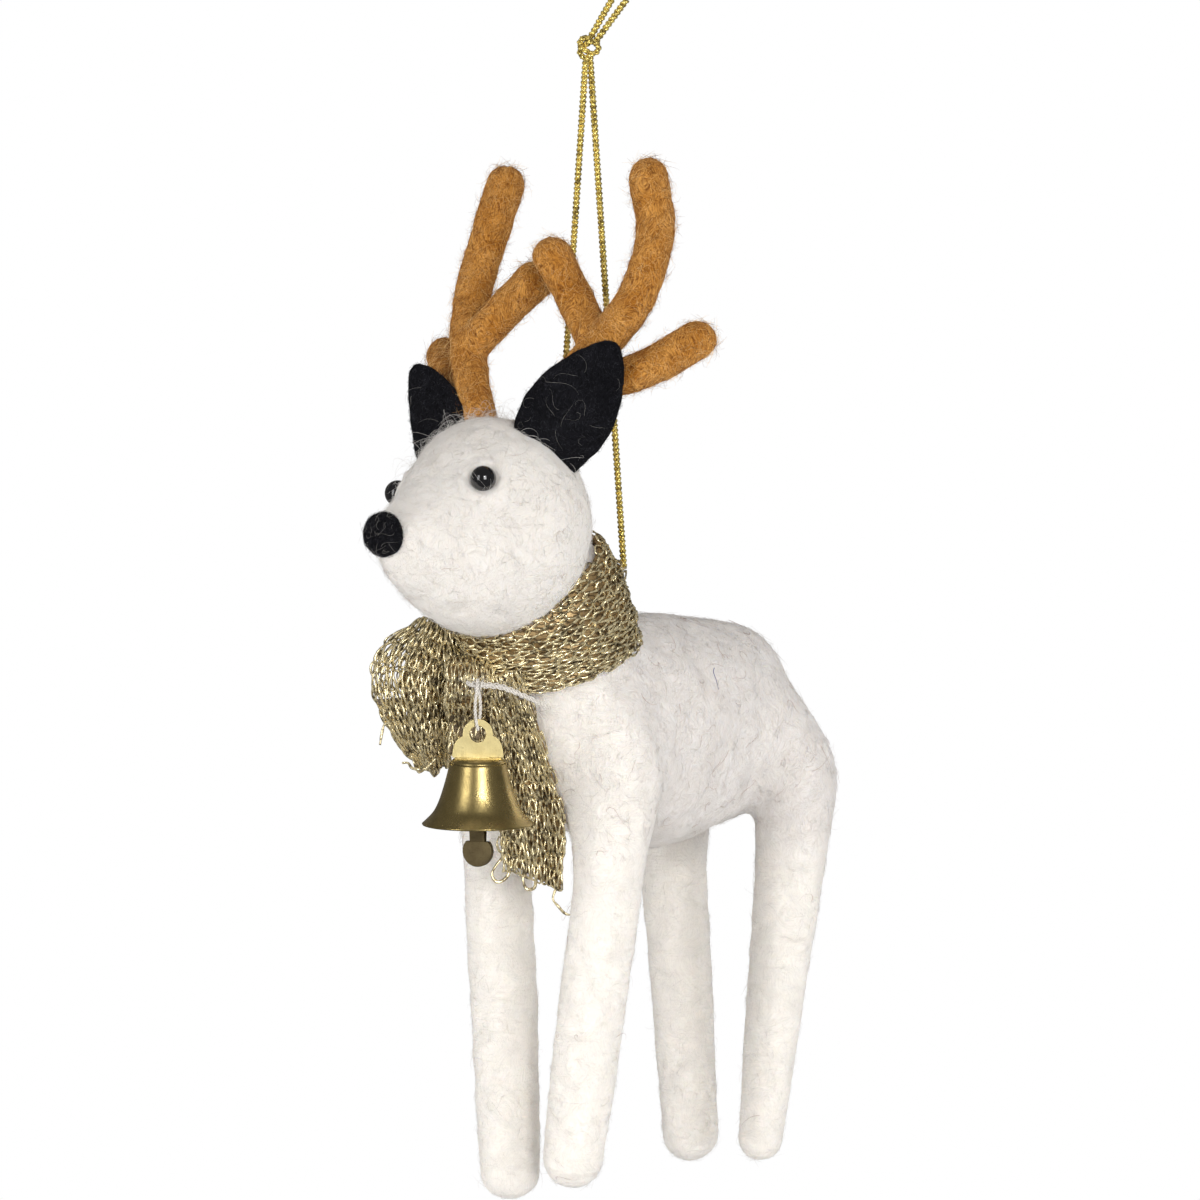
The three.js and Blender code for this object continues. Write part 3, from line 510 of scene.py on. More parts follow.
def flipped(mesh: Mesh) -> Mesh:
    """The mesh with its faces outwards, where its signed volume says that they point in."""
    mesh.calc_loop_triangles()
    corners = np.zeros(len(mesh.loop_triangles) * 3, np.int32)
    mesh.loop_triangles.foreach_get("vertices", corners)
    a, b, c = places_of(mesh)[corners.reshape(-1, 3)].transpose(1, 0, 2)
    if (a * np.cross(b, c)).sum() < 0:
        mesh.flip_normals()
    return mesh


def merged(mesh: Mesh) -> Mesh:
    """The mesh with places that coincide made one."""
    work = bmesh.new()
    work.from_mesh(mesh)
    bmesh.ops.remove_doubles(work, verts=work.verts, dist=1e-6)
    bmesh.ops.recalc_face_normals(work, faces=work.faces)
    work.to_mesh(mesh)
    work.free()
    return mesh


class Wiring:
    """Adds and links the nodes of one material, group or world."""

    def __init__(self, tree: NodeTree) -> None:
        """Starts on a node tree."""
        self.tree = tree

    def node(self, kind: str, inputs: dict[Any, Any] | None = None, **settings: Any) -> bpy.types.Node:
        """Adds a node.

        Args:
            kind: the node's type, after ShaderNode.
            inputs: a link or a value for each input, by name or number.
            settings: the node's own settings.

        Returns:
            The node.
        """
        made = self.tree.nodes.new("ShaderNode" + kind)
        for key, value in settings.items():
            setattr(made, key, value)
        for key, value in (inputs or {}).items():
            if isinstance(value, Socket):
                self.tree.links.new(value, made.inputs[key])
            else:
                made.inputs[key].default_value = value
        return made

    def places(self) -> Socket:
        """Places in the piece's own axes."""
        return self.node("TexCoord").outputs["Object"]

    def feed(self, node: bpy.types.Node, **links: Socket) -> None:
        """Links sockets to a node's inputs, named with _ for a space."""
        for key, value in links.items():
            self.tree.links.new(value, node.inputs[key.replace("_", " ")])

    def sum(self, operation: str, a: Any, b: Any, clamp: bool = False) -> Socket:
        """The outcome of one sum."""
        made = self.node("Math", {0: a, 1: b}, operation=operation, use_clamp=clamp)
        return made.outputs[0]

    def scaled(self, value: Socket, factor: Any) -> Socket:
        """A value times a factor."""
        return self.sum("MULTIPLY", value, factor)

    def vector(self, operation: str, inputs: dict[Any, Any]) -> Socket:
        """The outcome of one sum of vectors."""
        return self.node("VectorMath", inputs, operation=operation).outputs[0]

    def noise(self, at: Any, scale: Any, detail: float = 2.0, roughness: float = 0.5) -> Socket:
        """The value of a noise texture."""
        inputs = {"Vector": at, "Scale": scale, "Detail": detail, "Roughness": roughness}
        return self.node("TexNoise", inputs).outputs[0]

    def mapped(self, at: Socket, scale: Any, turn: Sequence[float] = (0.0, 0.0, 0.0)) -> Socket:
        """Places turned and scaled."""
        return self.node("Mapping", {0: at, 2: turn, 3: scale}).outputs[0]

    def bump(self, height: Socket, relief: float, strength: float) -> Socket:
        """The normals of a relief, in millimetres."""
        inputs = {"Strength": strength, "Distance": relief * MM, "Height": height}
        return self.node("Bump", inputs).outputs[0]

    def mix(self, share: Any, a: Any, b: Any, blend: str = "MIX") -> Socket:
        """Two colours mixed by a share."""
        made = self.node("Mix", {0: share, 6: a, 7: b}, data_type="RGBA", blend_type=blend)
        return made.outputs[2]

    def span(self, value: Any, low: float, high: float, start: float = 0.0, stop: float = 1.0) -> Socket:
        """A value carried from one span to another and held within it."""
        inputs = {0: value, 1: low, 2: high, 3: start, 4: stop}
        return self.node("MapRange", inputs).outputs[0]


def colour(red: float, green: float, blue: float) -> tuple[float, float, float, float]:
    """An opaque colour."""
    return (red, green, blue, 1.0)


def new_group(
    name: str, inputs: dict[str, tuple[str, Any]], outputs: Sequence[str]
) -> tuple[Any, Wiring, Any, Any]:
    """An empty shader node group.

    Args:
        name: its name.
        inputs: each input's socket type and default.
        outputs: the names of its outputs, which are numbers.

    Returns:
        The group, its wiring, its input node and its output node.
    """
    group = bpy.data.node_groups.new(name, "ShaderNodeTree")
    for label, (kind, default) in inputs.items():
        socket = group.interface.new_socket(label, in_out="INPUT", socket_type=kind)
        if default is not None:
            socket.default_value = default
    for label in outputs:
        group.interface.new_socket(label, in_out="OUTPUT", socket_type="NodeSocketFloat")
    start, stop = group.nodes.new("NodeGroupInput"), group.nodes.new("NodeGroupOutput")
    return group, Wiring(group), start, stop


def fibre_group() -> NodeTree:
    """Matted fibres, for every felt and wool finish.

    A slow noise bends space. In it, noises drawn out along three directions are narrowed to their
    crests, which run as fine curling hairs, and the strongest of the three shows. Clumps are a noise
    of their own, ten times coarser.

    Returns:
        The group, with outputs Strand, Mottle and Tuft from 0 to 1.
    """
    group, w, start, stop = new_group(
        "Matted fibres",
        {
            "Vector": ("NodeSocketVector", None),
            "Swirl": ("NodeSocketFloat", 150.0),
            "Fine": ("NodeSocketFloat", 3200.0),
            "Mottle scale": ("NodeSocketFloat", 110.0),
            "Stretch": ("NodeSocketFloat", 0.1),
        },
        ("Strand", "Mottle", "Tuft"),
    )
    at, fine = start.outputs["Vector"], start.outputs["Fine"]
    swirl = {"Vector": at, "Scale": start.outputs["Swirl"], "Detail": 1.0, "Roughness": 0.5}
    bend = w.node("TexNoise", swirl).outputs["Color"]
    bend = w.vector("SUBTRACT", {0: bend, 1: (0.5, 0.5, 0.5)})
    bend = w.vector("SCALE", {0: bend, "Scale": 0.012})
    bent = w.vector("ADD", {0: at, 1: bend})
    drawn = w.node("CombineXYZ", {0: 1.0, 1: 1.0, 2: start.outputs["Stretch"]}).outputs[0]
    crests = []
    for turn in ((0.3, 0.5, 0.0), (1.5, 0.2, 0.9), (0.4, 1.4, 2.1)):
        crest = w.noise(w.mapped(bent, drawn, turn), fine, 2.0, 0.6)
        crests.append(w.span(crest, 0.42, 0.72))
    strand = w.sum("MAXIMUM", w.sum("MAXIMUM", crests[0], crests[1]), crests[2])
    grain = w.noise(at, w.scaled(fine, 1.6))
    strand = w.sum("ADD", w.scaled(strand, 0.8), w.span(grain, 0.3, 0.7, 0.0, 0.2))
    mottle = w.noise(at, start.outputs["Mottle scale"], 4.0, 0.65)
    tuft = w.noise(bent, w.scaled(fine, 0.13), 4.0, 0.6)
    w.feed(stop, Strand=strand, Mottle=w.span(mottle, 0.32, 0.68), Tuft=w.span(tuft, 0.3, 0.7))
    return group


def tinsel_group() -> NodeTree:
    """Flecks of metallic yarn, for the knitting and the braid.

    Along the yarn, waves shaken by noise part bright film from dark gaps.

    Returns:
        The group, with output Fleck from 0, dark, to 1, bright.
    """
    group, w, start, stop = new_group(
        "Tinsel flecks",
        {
            "Vector": ("NodeSocketVector", None),
            "Along": ("NodeSocketFloat", 0.0),
            "Pitch": ("NodeSocketFloat", 1.2),
        },
        ("Fleck",),
    )
    at = start.outputs["Vector"]
    shake = w.scaled(w.noise(at, 700.0), 2.4)
    along = w.sum("DIVIDE", start.outputs["Along"], start.outputs["Pitch"])
    wave = w.sum("PINGPONG", w.sum("ADD", along, shake), 0.5)
    coarse = w.span(w.noise(at, 380.0), 0.35, 0.65, -0.35, 0.4)
    fleck = w.sum("ADD", w.scaled(wave, 3.6), coarse, True)
    w.feed(stop, Fleck=fleck)
    return group


class Groups:
    """The shader node groups that several finishes share, each made once."""

    _made: dict[str, NodeTree] = {}

    @classmethod
    def get(cls, maker: Callable[[], NodeTree]) -> NodeTree:
        """The group that a maker makes."""
        if maker.__name__ not in cls._made:
            cls._made[maker.__name__] = maker()
        return cls._made[maker.__name__]


def blank(name: str, **constants: Any) -> tuple[Material, Wiring, bpy.types.Node]:
    """A material with one Principled shader.

    Args:
        name: the material's name.
        constants: values for the shader's sockets, with _ for a space in a socket's name.

    Returns:
        The material, its wiring and the shader.
    """
    made = bpy.data.materials.new(name)
    made.use_nodes = True
    made.node_tree.nodes.clear()
    wiring = Wiring(made.node_tree)
    shader = wiring.node("BsdfPrincipled")
    for key, value in constants.items():
        shader.inputs[key.replace("_", " ")].default_value = value
    wiring.node("OutputMaterial", {"Surface": shader.outputs[0]})
    return made, wiring, shader


@dataclass(frozen=True)
class Felt:
    """Felted wool: matted strands over a soft mottle, with a fine nap."""

    name: str
    light: Colour
    dark: Colour
    mottle: Colour
    swirl: float = 150.0
    fine: float = 3200.0
    mottle_scale: float = 110.0
    relief: float = 0.1
    sheen: float = 0.25
    stretch: float = 0.12
    tufts: float = 0.5
    glow: float = 0.0
    wrap_colour_and_light: Colour | None = None

    def material(self) -> Material:
        """Builds the finish.

        Where the attribute wrapped is 1, the wool turns to the wrap colour, with faint level lines. That
        colour is partly the wrapped wool's own pale tone and partly painted light for the dim legs, and its
        dark strands there are lifted to 0.9 of it, also painted light.

        Returns:
            The material.
        """
        made, w, shader = blank(
            self.name,
            Roughness=0.95,
            Sheen_Weight=self.sheen,
            Sheen_Roughness=0.6,
            Specular_IOR_Level=0.15,
            Subsurface_Weight=self.glow,
            Subsurface_Radius=(1.0, 0.72, 0.45),
            Subsurface_Scale=1.6 * MM,
        )
        at = w.places()
        inputs = {
            "Vector": at,
            "Swirl": self.swirl,
            "Fine": self.fine,
            "Mottle scale": self.mottle_scale,
            "Stretch": self.stretch,
        }
        fibres = w.node("Group", inputs, node_tree=Groups.get(fibre_group))
        strand, mottle = fibres.outputs["Strand"], fibres.outputs["Mottle"]
        tint = w.mix(mottle, colour(*self.mottle), colour(*self.light))
        dark = colour(*self.dark)
        height = w.sum("ADD", strand, w.scaled(fibres.outputs["Tuft"], self.tufts * 4))
        if self.wrap_colour_and_light:
            wrapped = w.node("Attribute", attribute_name="wrapped").outputs["Fac"]
            tint = w.mix(wrapped, tint, colour(*self.wrap_colour_and_light))
            # Painted light: on wrapped wool the dark strands are lifted to 0.9 of the wrap colour.
            dark = w.mix(wrapped, dark, colour(*(0.9 * level for level in self.wrap_colour_and_light)))
            lines = w.noise(w.mapped(at, (0.12, 0.12, 1.0)), 700.0, 3.0, 0.6)
            height = w.sum("ADD", height, w.scaled(w.scaled(lines, wrapped), 6.0))
        shade = w.mix(w.span(strand, 0.1, 0.7), dark, tint)
        w.feed(shader, Base_Color=shade, Normal=w.bump(height, self.relief, 0.8))
        return made


@dataclass(frozen=True)
class Tinsel:
    """Metallic yarn: gold film with bright glints and dark gaps."""

    name: str
    bright: Colour
    dark: Colour
    roughness: float = 0.3
    pitch: float = 1.2

    def material(self) -> Material:
        """Builds the finish, which reads the attribute along, in millimetres."""
        made, w, shader = blank(self.name, Metallic=0.7)
        at = w.places()
        along = w.node("Attribute", attribute_name="along").outputs["Fac"]
        inputs = {"Vector": at, "Along": along, "Pitch": self.pitch}
        group = w.node("Group", inputs, node_tree=Groups.get(tinsel_group))
        fleck = group.outputs["Fleck"]
        shade = w.mix(fleck, colour(*self.dark), colour(*self.bright))
        rough = w.span(fleck, 0.0, 1.0, self.roughness + 0.25, self.roughness - 0.06)
        crinkle = w.bump(w.noise(at, 3000.0), 0.05, 0.8)
        w.feed(shader, Base_Color=shade, Roughness=rough, Normal=crinkle)
        return made


@dataclass(frozen=True)
class Brass:
    """Drawn sheet brass: cloudy, finely scratched, darker where it has dulled."""

    name: str
    bright: Colour
    dull: Colour
    roughness: float

    def material(self) -> Material:
        """Builds the finish."""
        made, w, shader = blank(self.name, Metallic=1.0)
        at = w.places()
        cloud = w.noise(at, 260.0, 4.0, 0.6)
        grain = w.noise(at, 4200.0, 3.0, 0.7)
        scratch = w.noise(w.mapped(at, (1.0, 1.0, 0.06)), 5200.0)
        patina = w.sum("ADD", w.span(cloud, 0.35, 0.7, 0.0, 0.6), w.span(grain, 0.5, 0.75, 0.0, 0.4))
        shade = w.mix(patina, colour(*self.bright), colour(*self.dull))
        rough = w.sum("ADD", w.scaled(patina, 0.16), self.roughness)
        fine = w.sum("ADD", w.scaled(scratch, 0.5), grain)
        height = w.sum("ADD", fine, w.scaled(cloud, 5.0))
        w.feed(shader, Base_Color=shade, Roughness=rough, Normal=w.bump(height, 0.03, 0.5))
        return made


@dataclass(frozen=True)
class Bead:
    """Glossy black glass with a few specks of dust."""

    name: str
    body: Colour
    specks: Colour = (0.05, 0.05, 0.055)

    def material(self) -> Material:
        """Builds the finish."""
        made, w, shader = blank(self.name, Coat_Weight=0.6, Coat_Roughness=0.03)
        at = w.places()
        dust = w.span(w.noise(at, 2400.0, 3.0, 0.7), 0.62, 0.72)
        shade = w.mix(dust, colour(*self.body), colour(*self.specks))
        w.feed(shader, Base_Color=shade, Roughness=w.span(dust, 0.0, 1.0, 0.05, 0.25))
        return made


@dataclass(frozen=True)
class Cotton:
    """White cotton thread, spun and slightly see-through."""

    name: str
    light: Colour
    dark: Colour

    def material(self) -> Material:
        """Builds the finish."""
        made, w, shader = blank(self.name, Roughness=0.7, Sheen_Weight=0.3, Transmission_Weight=0.12)
        at = w.places()
        spun = w.noise(at, 3800.0, 3.0, 0.7)
        shade = w.mix(w.span(spun, 0.35, 0.65), colour(*self.dark), colour(*self.light))
        w.feed(shader, Base_Color=shade, Normal=w.bump(spun, 0.05, 0.6))
        return made


@dataclass(frozen=True)
class Wire:
    """Plain steel wire with a drawn grain."""

    name: str
    grey: float = 0.5

    def material(self) -> Material:
        """Builds the finish."""
        made, w, shader = blank(self.name, Metallic=1.0)
        at = w.places()
        grain = w.noise(at, 1800.0, 3.0)
        dark, light = self.grey * 0.7, self.grey * 1.1
        shade = w.mix(grain, colour(dark, dark, dark), colour(light, light, light))
        w.feed(shader, Base_Color=shade, Roughness=w.span(grain, 0.2, 0.8, 0.28, 0.5))
        return made


class Finishes:
    """Every finish of the ornament, built once."""

    def __init__(self) -> None:
        """Builds the materials. Each felt has its light, dark and mottle colours, and its sheen."""
        felts = {
            "antler_dark_hair": ((0.3, 0.1, 0.016), (0.12, 0.035, 0.004), (0.2, 0.06, 0.008), 0.0),
            "antler_hair": ((0.98, 0.68, 0.32), (0.7, 0.38, 0.11), (0.86, 0.52, 0.18), 0.03),
            "black_felt": ((0.009, 0.009, 0.012), (0.001, 0.001, 0.0015), (0.004, 0.004, 0.006), 0.0),
            # The black nap is lighter bluish hairs over black felt: partly the felt's own lighter fibres,
            # partly painted sheen.
            "black_nap_sheen": ((0.08, 0.08, 0.092), (0.012, 0.012, 0.015), (0.04, 0.04, 0.047), 0.0),
            "lint": ((0.36, 0.34, 0.31), (0.16, 0.15, 0.13), (0.26, 0.25, 0.23), 0.25),
            "stray_hair": ((0.5, 0.33, 0.27), (0.3, 0.18, 0.15), (0.42, 0.27, 0.22), 0.25),
            "shade_wool": ((0.67, 0.62, 0.58), (0.55, 0.5, 0.46), (0.62, 0.57, 0.53), 0.25),
            "blue_hair": ((0.12, 0.15, 0.36), (0.06, 0.08, 0.22), (0.09, 0.11, 0.28), 0.25),
            # The inner_turn felt is brown painted shade: it stands for shadowed knit behind the bell's
            # plate.
            "inner_turn": ((0.46, 0.36, 0.24), (0.2, 0.15, 0.09), (0.36, 0.28, 0.18), 0.25),
            # The backing felt is beige-brown: partly a felt strip behind the flap, partly painted shade seen
            # through the flap's holes.
            "backing_felt_shade": ((0.5, 0.42, 0.32), (0.3, 0.24, 0.17), (0.42, 0.35, 0.26), 0.25),
        }
        self.felt = {
            name: Felt(name, light, dark, mottle, sheen=sheen).material()
            for name, (light, dark, mottle, sheen) in felts.items()
        }
        self.wool = Felt(
            "wool",
            (0.76, 0.73, 0.705),
            (0.62, 0.575, 0.54),
            (0.69, 0.65, 0.615),
            fine=3000.0,
            relief=0.13,
            tufts=0.14,
            glow=0.2,
            # The wrap colour: partly the legs' own pale wool, partly painted light for the dimly lit legs
            # and chest front.
            wrap_colour_and_light=(0.88, 0.835, 0.775),
        ).material()
        self.head = Felt(
            "head_wool",
            (0.745, 0.715, 0.675),
            (0.69, 0.65, 0.605),
            (0.73, 0.695, 0.65),
            fine=3000.0,
            relief=0.08,
            tufts=0.06,
            glow=0.2,
        ).material()
        self.antler = Felt(
            "antler_wool",
            (0.7, 0.35, 0.085),
            (0.13, 0.035, 0.004),
            (0.42, 0.165, 0.02),
            swirl=120.0,
            fine=4200.0,
            mottle_scale=210.0,
            sheen=0.04,
            stretch=0.1,
        ).material()
        self.knit = Tinsel("gold_knit", (1.0, 0.87, 0.55), (0.16, 0.125, 0.07), 0.17, 1.9).material()
        # The under sheets stand for the turns of knit under the top one. They are coloured far darker than
        # the knit, as painted shade in the gaps.
        self.lining = Tinsel("knit_lining", (0.5, 0.35, 0.17), (0.1, 0.065, 0.03), 0.5, 0.8).material()
        self.braid = Tinsel("gold_braid", (1.0, 0.8, 0.24), (0.22, 0.16, 0.045), 0.26, 0.9).material()
        self.brass = Brass("brass", (0.62, 0.48, 0.2), (0.24, 0.18, 0.07), 0.24).material()
        # The clapper's finish is brass made far darker than the bell's, as painted shade for the shadow
        # under the bell.
        self.dull = Brass("clapper_shaded_brass", (0.2, 0.155, 0.08), (0.1, 0.075, 0.04), 0.42).material()
        self.plate = Brass("plate_brass", (0.96, 0.82, 0.42), (0.62, 0.5, 0.22), 0.4).material()
        self.bead = Bead("black_bead", (0.006, 0.006, 0.007)).material()
        self.cotton = Cotton("cotton_thread", (0.86, 0.82, 0.76), (0.6, 0.56, 0.5)).material()
        self.wire = Wire("armature_wire").material()


@dataclass
class Coat:
    """Loose fibres that stand off a piece: thin curly hairs, rooted in it."""

    count: int
    length: float
    lift: float
    diameter: float = 0.05
    curl: float = 2.5
    loose: float = 0.25
    seed: int = 1
    steps: int = 5

    def shell(self, host: Mesh, keep: Callable[[Array], Array] | None = None) -> Shell:
        """Grows the fibres.

        A fibre starts just under the surface at a random place, heads off along it, turns at a
        steady rate and rises by lift * (share of an arch + share of a free end).

        Args:
            host: the mesh they grow on.
            keep: says how likely each place is to grow one, from 0 to 1.

        Returns:
            Three-sided hairs that end in a point.
        """
        rng = np.random.default_rng(self.seed)
        one_each = (self.count, 1)
        centre = vectors_of(host.polygons, "center") / MM
        normal = vectors_of(host.polygons, "normal")
        area = np.zeros(len(centre))
        host.polygons.foreach_get("area", area)
        weight = area * (keep(centre) if keep else 1.0)
        pick = rng.choice(len(centre), self.count, p=weight / weight.sum())
        root, out = centre[pick], unit(normal[pick])
        ahead = unit(np.cross(out, unit(rng.normal(size=out.shape))))
        aside = np.cross(out, ahead)
        jitter = np.sqrt(area[pick] / MM**2)[:, None]
        root = root + ahead * rng.uniform(-0.5, 0.5, one_each) * jitter
        t = np.linspace(0, 1, self.steps)
        step = self.length * rng.uniform(0.4, 1.6, one_each) / (self.steps - 1)
        heading = self.curl * rng.normal(size=one_each) * t
        heading = heading + 0.5 * self.curl * rng.normal(size=one_each) * np.sin(3 * t)
        go, turn = (
            np.concatenate([np.zeros(one_each), np.cumsum(way(heading[:, 1:]) * step, 1)], 1)
            for way in (np.cos, np.sin)
        )
        height = self.lift * rng.exponential(1.0, one_each).clip(0, 3)
        free = (rng.random(one_each) < self.loose) * height
        rise = height * np.sin(np.pi * t) + free * t - 0.06 * (1 - t) ** 4
        path = root[:, None] + go[..., None] * ahead[:, None]
        path = path + turn[..., None] * aside[:, None] + rise[..., None] * out[:, None]
        radius = (self.diameter / 2) * (1 - 0.75 * t**2) * np.ones(one_each)
        return tube(path, radius, 3, out[:, None] + 0.3 * aside[:, None])

    def add(
        self,
        name: str,
        host: Mesh,
        material: Material,
        slot: str,
        keep: Callable[[Array], Array] | None = None,
    ) -> None:
        """Grows the fibres and puts them in the scene as one piece of the reindeer."""
        add_piece(name, mesh_from(name, self.shell(host, keep)), material, slot)


def more_above(height: float, below: float) -> Callable[[Array], Array]:
    """How likely a place is to grow a hair: below up to a height, and 1 more above it."""
    return lambda places: below + (places[:, 2] > height)


@dataclass
class View:
    """The photograph's camera: a long lens, level with the scarf, from the reindeer's front left."""

    distance: float = 1000.0
    width: float = 192.0
    pixels: int = 1200
    across: Array = field(default_factory=lambda: np.array([0.669131, -0.743145, 0.0]))
    towards: Array = field(default_factory=lambda: np.array([-0.740317, -0.666586, 0.087156]))
    centre_across: float = 1.92
    centre_up: float = -86.08

    @property
    def upward(self) -> Array:
        """The photograph's up direction."""
        return np.cross(self.towards, self.across)

    def place(self, column: float, row: float, depth: float) -> Array:
        """The place seen at a pixel of the photograph, depth millimetres nearer than the cord."""
        scale = self.distance / (self.distance - depth)
        pixel = self.width / self.pixels
        a = (column - self.pixels / 2) * pixel / scale + self.centre_across
        b = -(row - self.pixels / 2) * pixel / scale + self.centre_up
        return a * self.across + b * self.upward + depth * self.towards

    def column_row(self, places: Array) -> tuple[Array, Array]:
        """The pixels at which places are seen."""
        scale = self.distance / (self.distance - places @ self.towards)
        pixel = self.width / self.pixels
        column = self.pixels / 2 + (places @ self.across - self.centre_across) * scale / pixel
        row = self.pixels / 2 - (places @ self.upward - self.centre_up) * scale / pixel
        return column, row


@dataclass
class Studio:
    """Camera, floor, world and soft lights."""

    view: View
    sensor: float = 36.0
    floor_drop: float = 340.0
    floor_thick: float = 4.0
    floor_radius: float = 620.0

    def add_camera(self) -> None:
        """Makes the camera at the photograph's viewing angle."""
        data = bpy.data.cameras.new("camera")
        data.sensor_width = self.sensor
        data.lens = self.sensor * self.view.distance / self.view.width
        data.clip_start, data.clip_end = 0.05, 20.0
        camera = linked("camera", data)
        middle = self.view.place(600, 600, 0.0)
        self.aim(camera, middle + self.view.distance * self.view.towards, middle)
        bpy.context.scene.camera = camera
        bpy.context.scene.view_settings.view_transform = "Standard"

    def aim(self, thing: Object, place: Array, target: Array) -> None:
        """Puts the camera or a lamp at a place, facing a target."""
        thing.location = Vector(place * MM)
        thing.rotation_mode = "QUATERNION"
        thing.rotation_quaternion = Vector(target - place).to_track_quat("-Z", "Y")

    def add_floor(self) -> None:
        """Makes a pale floor well below the hooves."""
        rim = self.floor_radius * turned(full_turn(96), AHEAD, ASIDE)
        shell = skin(np.stack([rim - (self.floor_drop + self.floor_thick) * UP, rim - self.floor_drop * UP]))
        material, _, _ = blank("floor", Roughness=0.9, Base_Color=colour(0.86, 0.86, 0.86))
        mesh = mesh_from("floor", shell)
        mesh.materials.append(material)
        floor = linked("floor", mesh)
        floor.visible_glossy = False
        floor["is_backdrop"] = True

    def add_world(self, background: float = 1.0, mirrored: float = 0.14) -> None:
        """Makes a surround that is seen white, lights softly, and is dim in what gleams.

        Args:
            background: its brightness as the camera sees it.
            mirrored: its brightness in what is glossy.
        """
        world = bpy.data.worlds.new("surround")
        bpy.context.scene.world = world
        world.use_nodes = True
        world.node_tree.nodes.clear()
        w = Wiring(world.node_tree)
        path = w.node("LightPath")
        shown = w.node("Background", {0: colour(1, 1, 1), 1: background})
        way = w.node("TexCoord").outputs["Generated"]
        height = w.node("SeparateXYZ", {0: way}).outputs["Z"]
        fill = w.span(height, -0.6, 0.9, 0.3, 0.34)
        lit = w.node("Background", {0: colour(1.0, 0.985, 0.97), 1: fill})
        dim = w.node("Background", {0: colour(1.0, 0.97, 0.92), 1: mirrored})
        gleam = path.outputs["Is Glossy Ray"]
        unseen = w.node("MixShader", {0: gleam, 1: lit.outputs[0], 2: dim.outputs[0]})
        seen = path.outputs["Is Camera Ray"]
        mixed = w.node("MixShader", {0: seen, 1: unseen.outputs[0], 2: shown.outputs[0]})
        w.node("OutputWorld", {0: mixed.outputs[0]})

    def add_light(
        self, name: str, where: Sequence[float], size: Sequence[float], power: float, gleams: bool = True
    ) -> None:
        """Makes a soft box that faces the reindeer.

        Args:
            name: its name.
            where: its place as (across, up, towards the camera), in millimetres from the middle.
            size: its width and height in millimetres.
            power: its power in watts.
            gleams: whether it shows in what is glossy.
        """
        data = bpy.data.lights.new(name, "AREA")
        data.shape = "RECTANGLE"
        data.size, data.size_y = size[0] * MM, size[1] * MM
        data.energy = power
        lamp = linked(name, data)
        lamp.visible_glossy = gleams
        middle = self.view.place(600, 600, 0)
        place = middle + where[0] * self.view.across + where[1] * UP + where[2] * self.view.towards
        self.aim(lamp, place, middle)

    def build(self) -> None:
        """Makes everything but the camera."""
        self.add_floor()
        self.add_world()
        self.add_light("key", (210, 110, 740), (300, 420), 2.9)
        self.add_light("side", (-470, 90, 520), (240, 480), 1.4)
        self.add_light("spark", (150, 250, 800), (46, 46), 0.45)
        self.add_light("right", (620, -30, 330), (300, 520), 1.7, False)
        self.add_light("far_side", (-640, -100, 200), (300, 460), 1.5, False)
        self.add_light("top", (60, 720, 40), (520, 420), 0.6, False)
        self.add_light("low", (60, -420, 620), (420, 260), 0.1, False)


@dataclass
class Layout:
    """Sizes that several sub-assemblies share, as the CAD source has them."""

    loop_drop: float = 80.6
    loop_width: float = 15.4
    cord: float = 1.1
    gap: float = 0.3
    neck: float = 24.0
    neck_tilt: float = 24.0
    band: float = 2.4
    band_roll: float = 3.0
    band_back: float = 15.4
    band_front: float = 11.2
    band_upper: float = 1.35
    exit_rise: float = 3.3
    chest_turn: float = 48.0

    @property
    def origin(self) -> Array:
        """The middle between the cord's exits."""
        return np.array([0.0, 0.0, -self.loop_drop])

    @property
    def back(self) -> Array:
        """From the scarf's ring towards the nape."""
        return turned(np.radians(self.neck_tilt), AHEAD, UP)

    @property
    def up(self) -> Array:
        """Up the neck."""
        return turned(np.radians(self.neck_tilt), UP, -AHEAD)

    @property
    def ring(self) -> float:
        """The radius of the middle of the band."""
        return self.neck / 2 + self.gap + self.band / 2

    @property
    def centre(self) -> Array:
        """The middle of the scarf's ring."""
        share = self.exit_rise / (self.band_back / 2 * self.band_upper)
        surface = self.band / 2 * math.sqrt(1 - share**2) - self.band_roll * share**2
        reach = self.ring + surface + self.gap + self.cord / 2
        behind = math.sqrt(reach**2 - (self.loop_width / 2) ** 2)
        return self.origin - behind * self.back - self.exit_rise * self.up

    @property
    def chest_across(self) -> Array:
        """Across the chest, towards the reindeer's left and back."""
        return turned(np.radians(self.chest_turn), AHEAD, -ASIDE)

    @property
    def chest_forward(self) -> Array:
        """Out from the chest, forward and left."""
        return turned(np.radians(self.chest_turn), -ASIDE, -AHEAD)

    def exit(self, side: Side) -> Array:
        """Where the cord leaves the scarf on a side."""
        return self.origin + side.value * self.loop_width / 2 * ASIDE


@dataclass
class Egg:
    """An egg along X with its front at -X. The table says, from the front round to the back, what
    share of the half width, the height above and the depth below is filled."""

    length: float
    width: float
    height: float
    centre: Array
    shares: Sequence[Sequence[float]]

    def surface(self, along: Array, around: Array) -> Array:
        """Places on the egg.

        x is -cos(along) of the half length, y and z are cos(around) and sin(around) of the filled
        half width and half height, times sin(along).
        """
        filled = table(self.shares, along / np.pi)
        rise = np.sin(around)
        tall = np.where(rise > 0, filled[..., 1], filled[..., 2])
        x = -(self.length / 2) * np.cos(along)
        y = self.width / 2 * filled[..., 0] * np.sin(along) * np.cos(around)
        z = self.height / 2 * tall * np.sin(along) * rise
        return np.stack(np.broadcast_arrays(x, y, z), -1) + self.centre

    def shell(self, rings: int = 64, sides: int = 96) -> Shell:
        """The whole egg."""
        along = np.linspace(0, np.pi, rings + 1)[1:-1, None]
        return skin(self.surface(along, full_turn(sides)[None]))


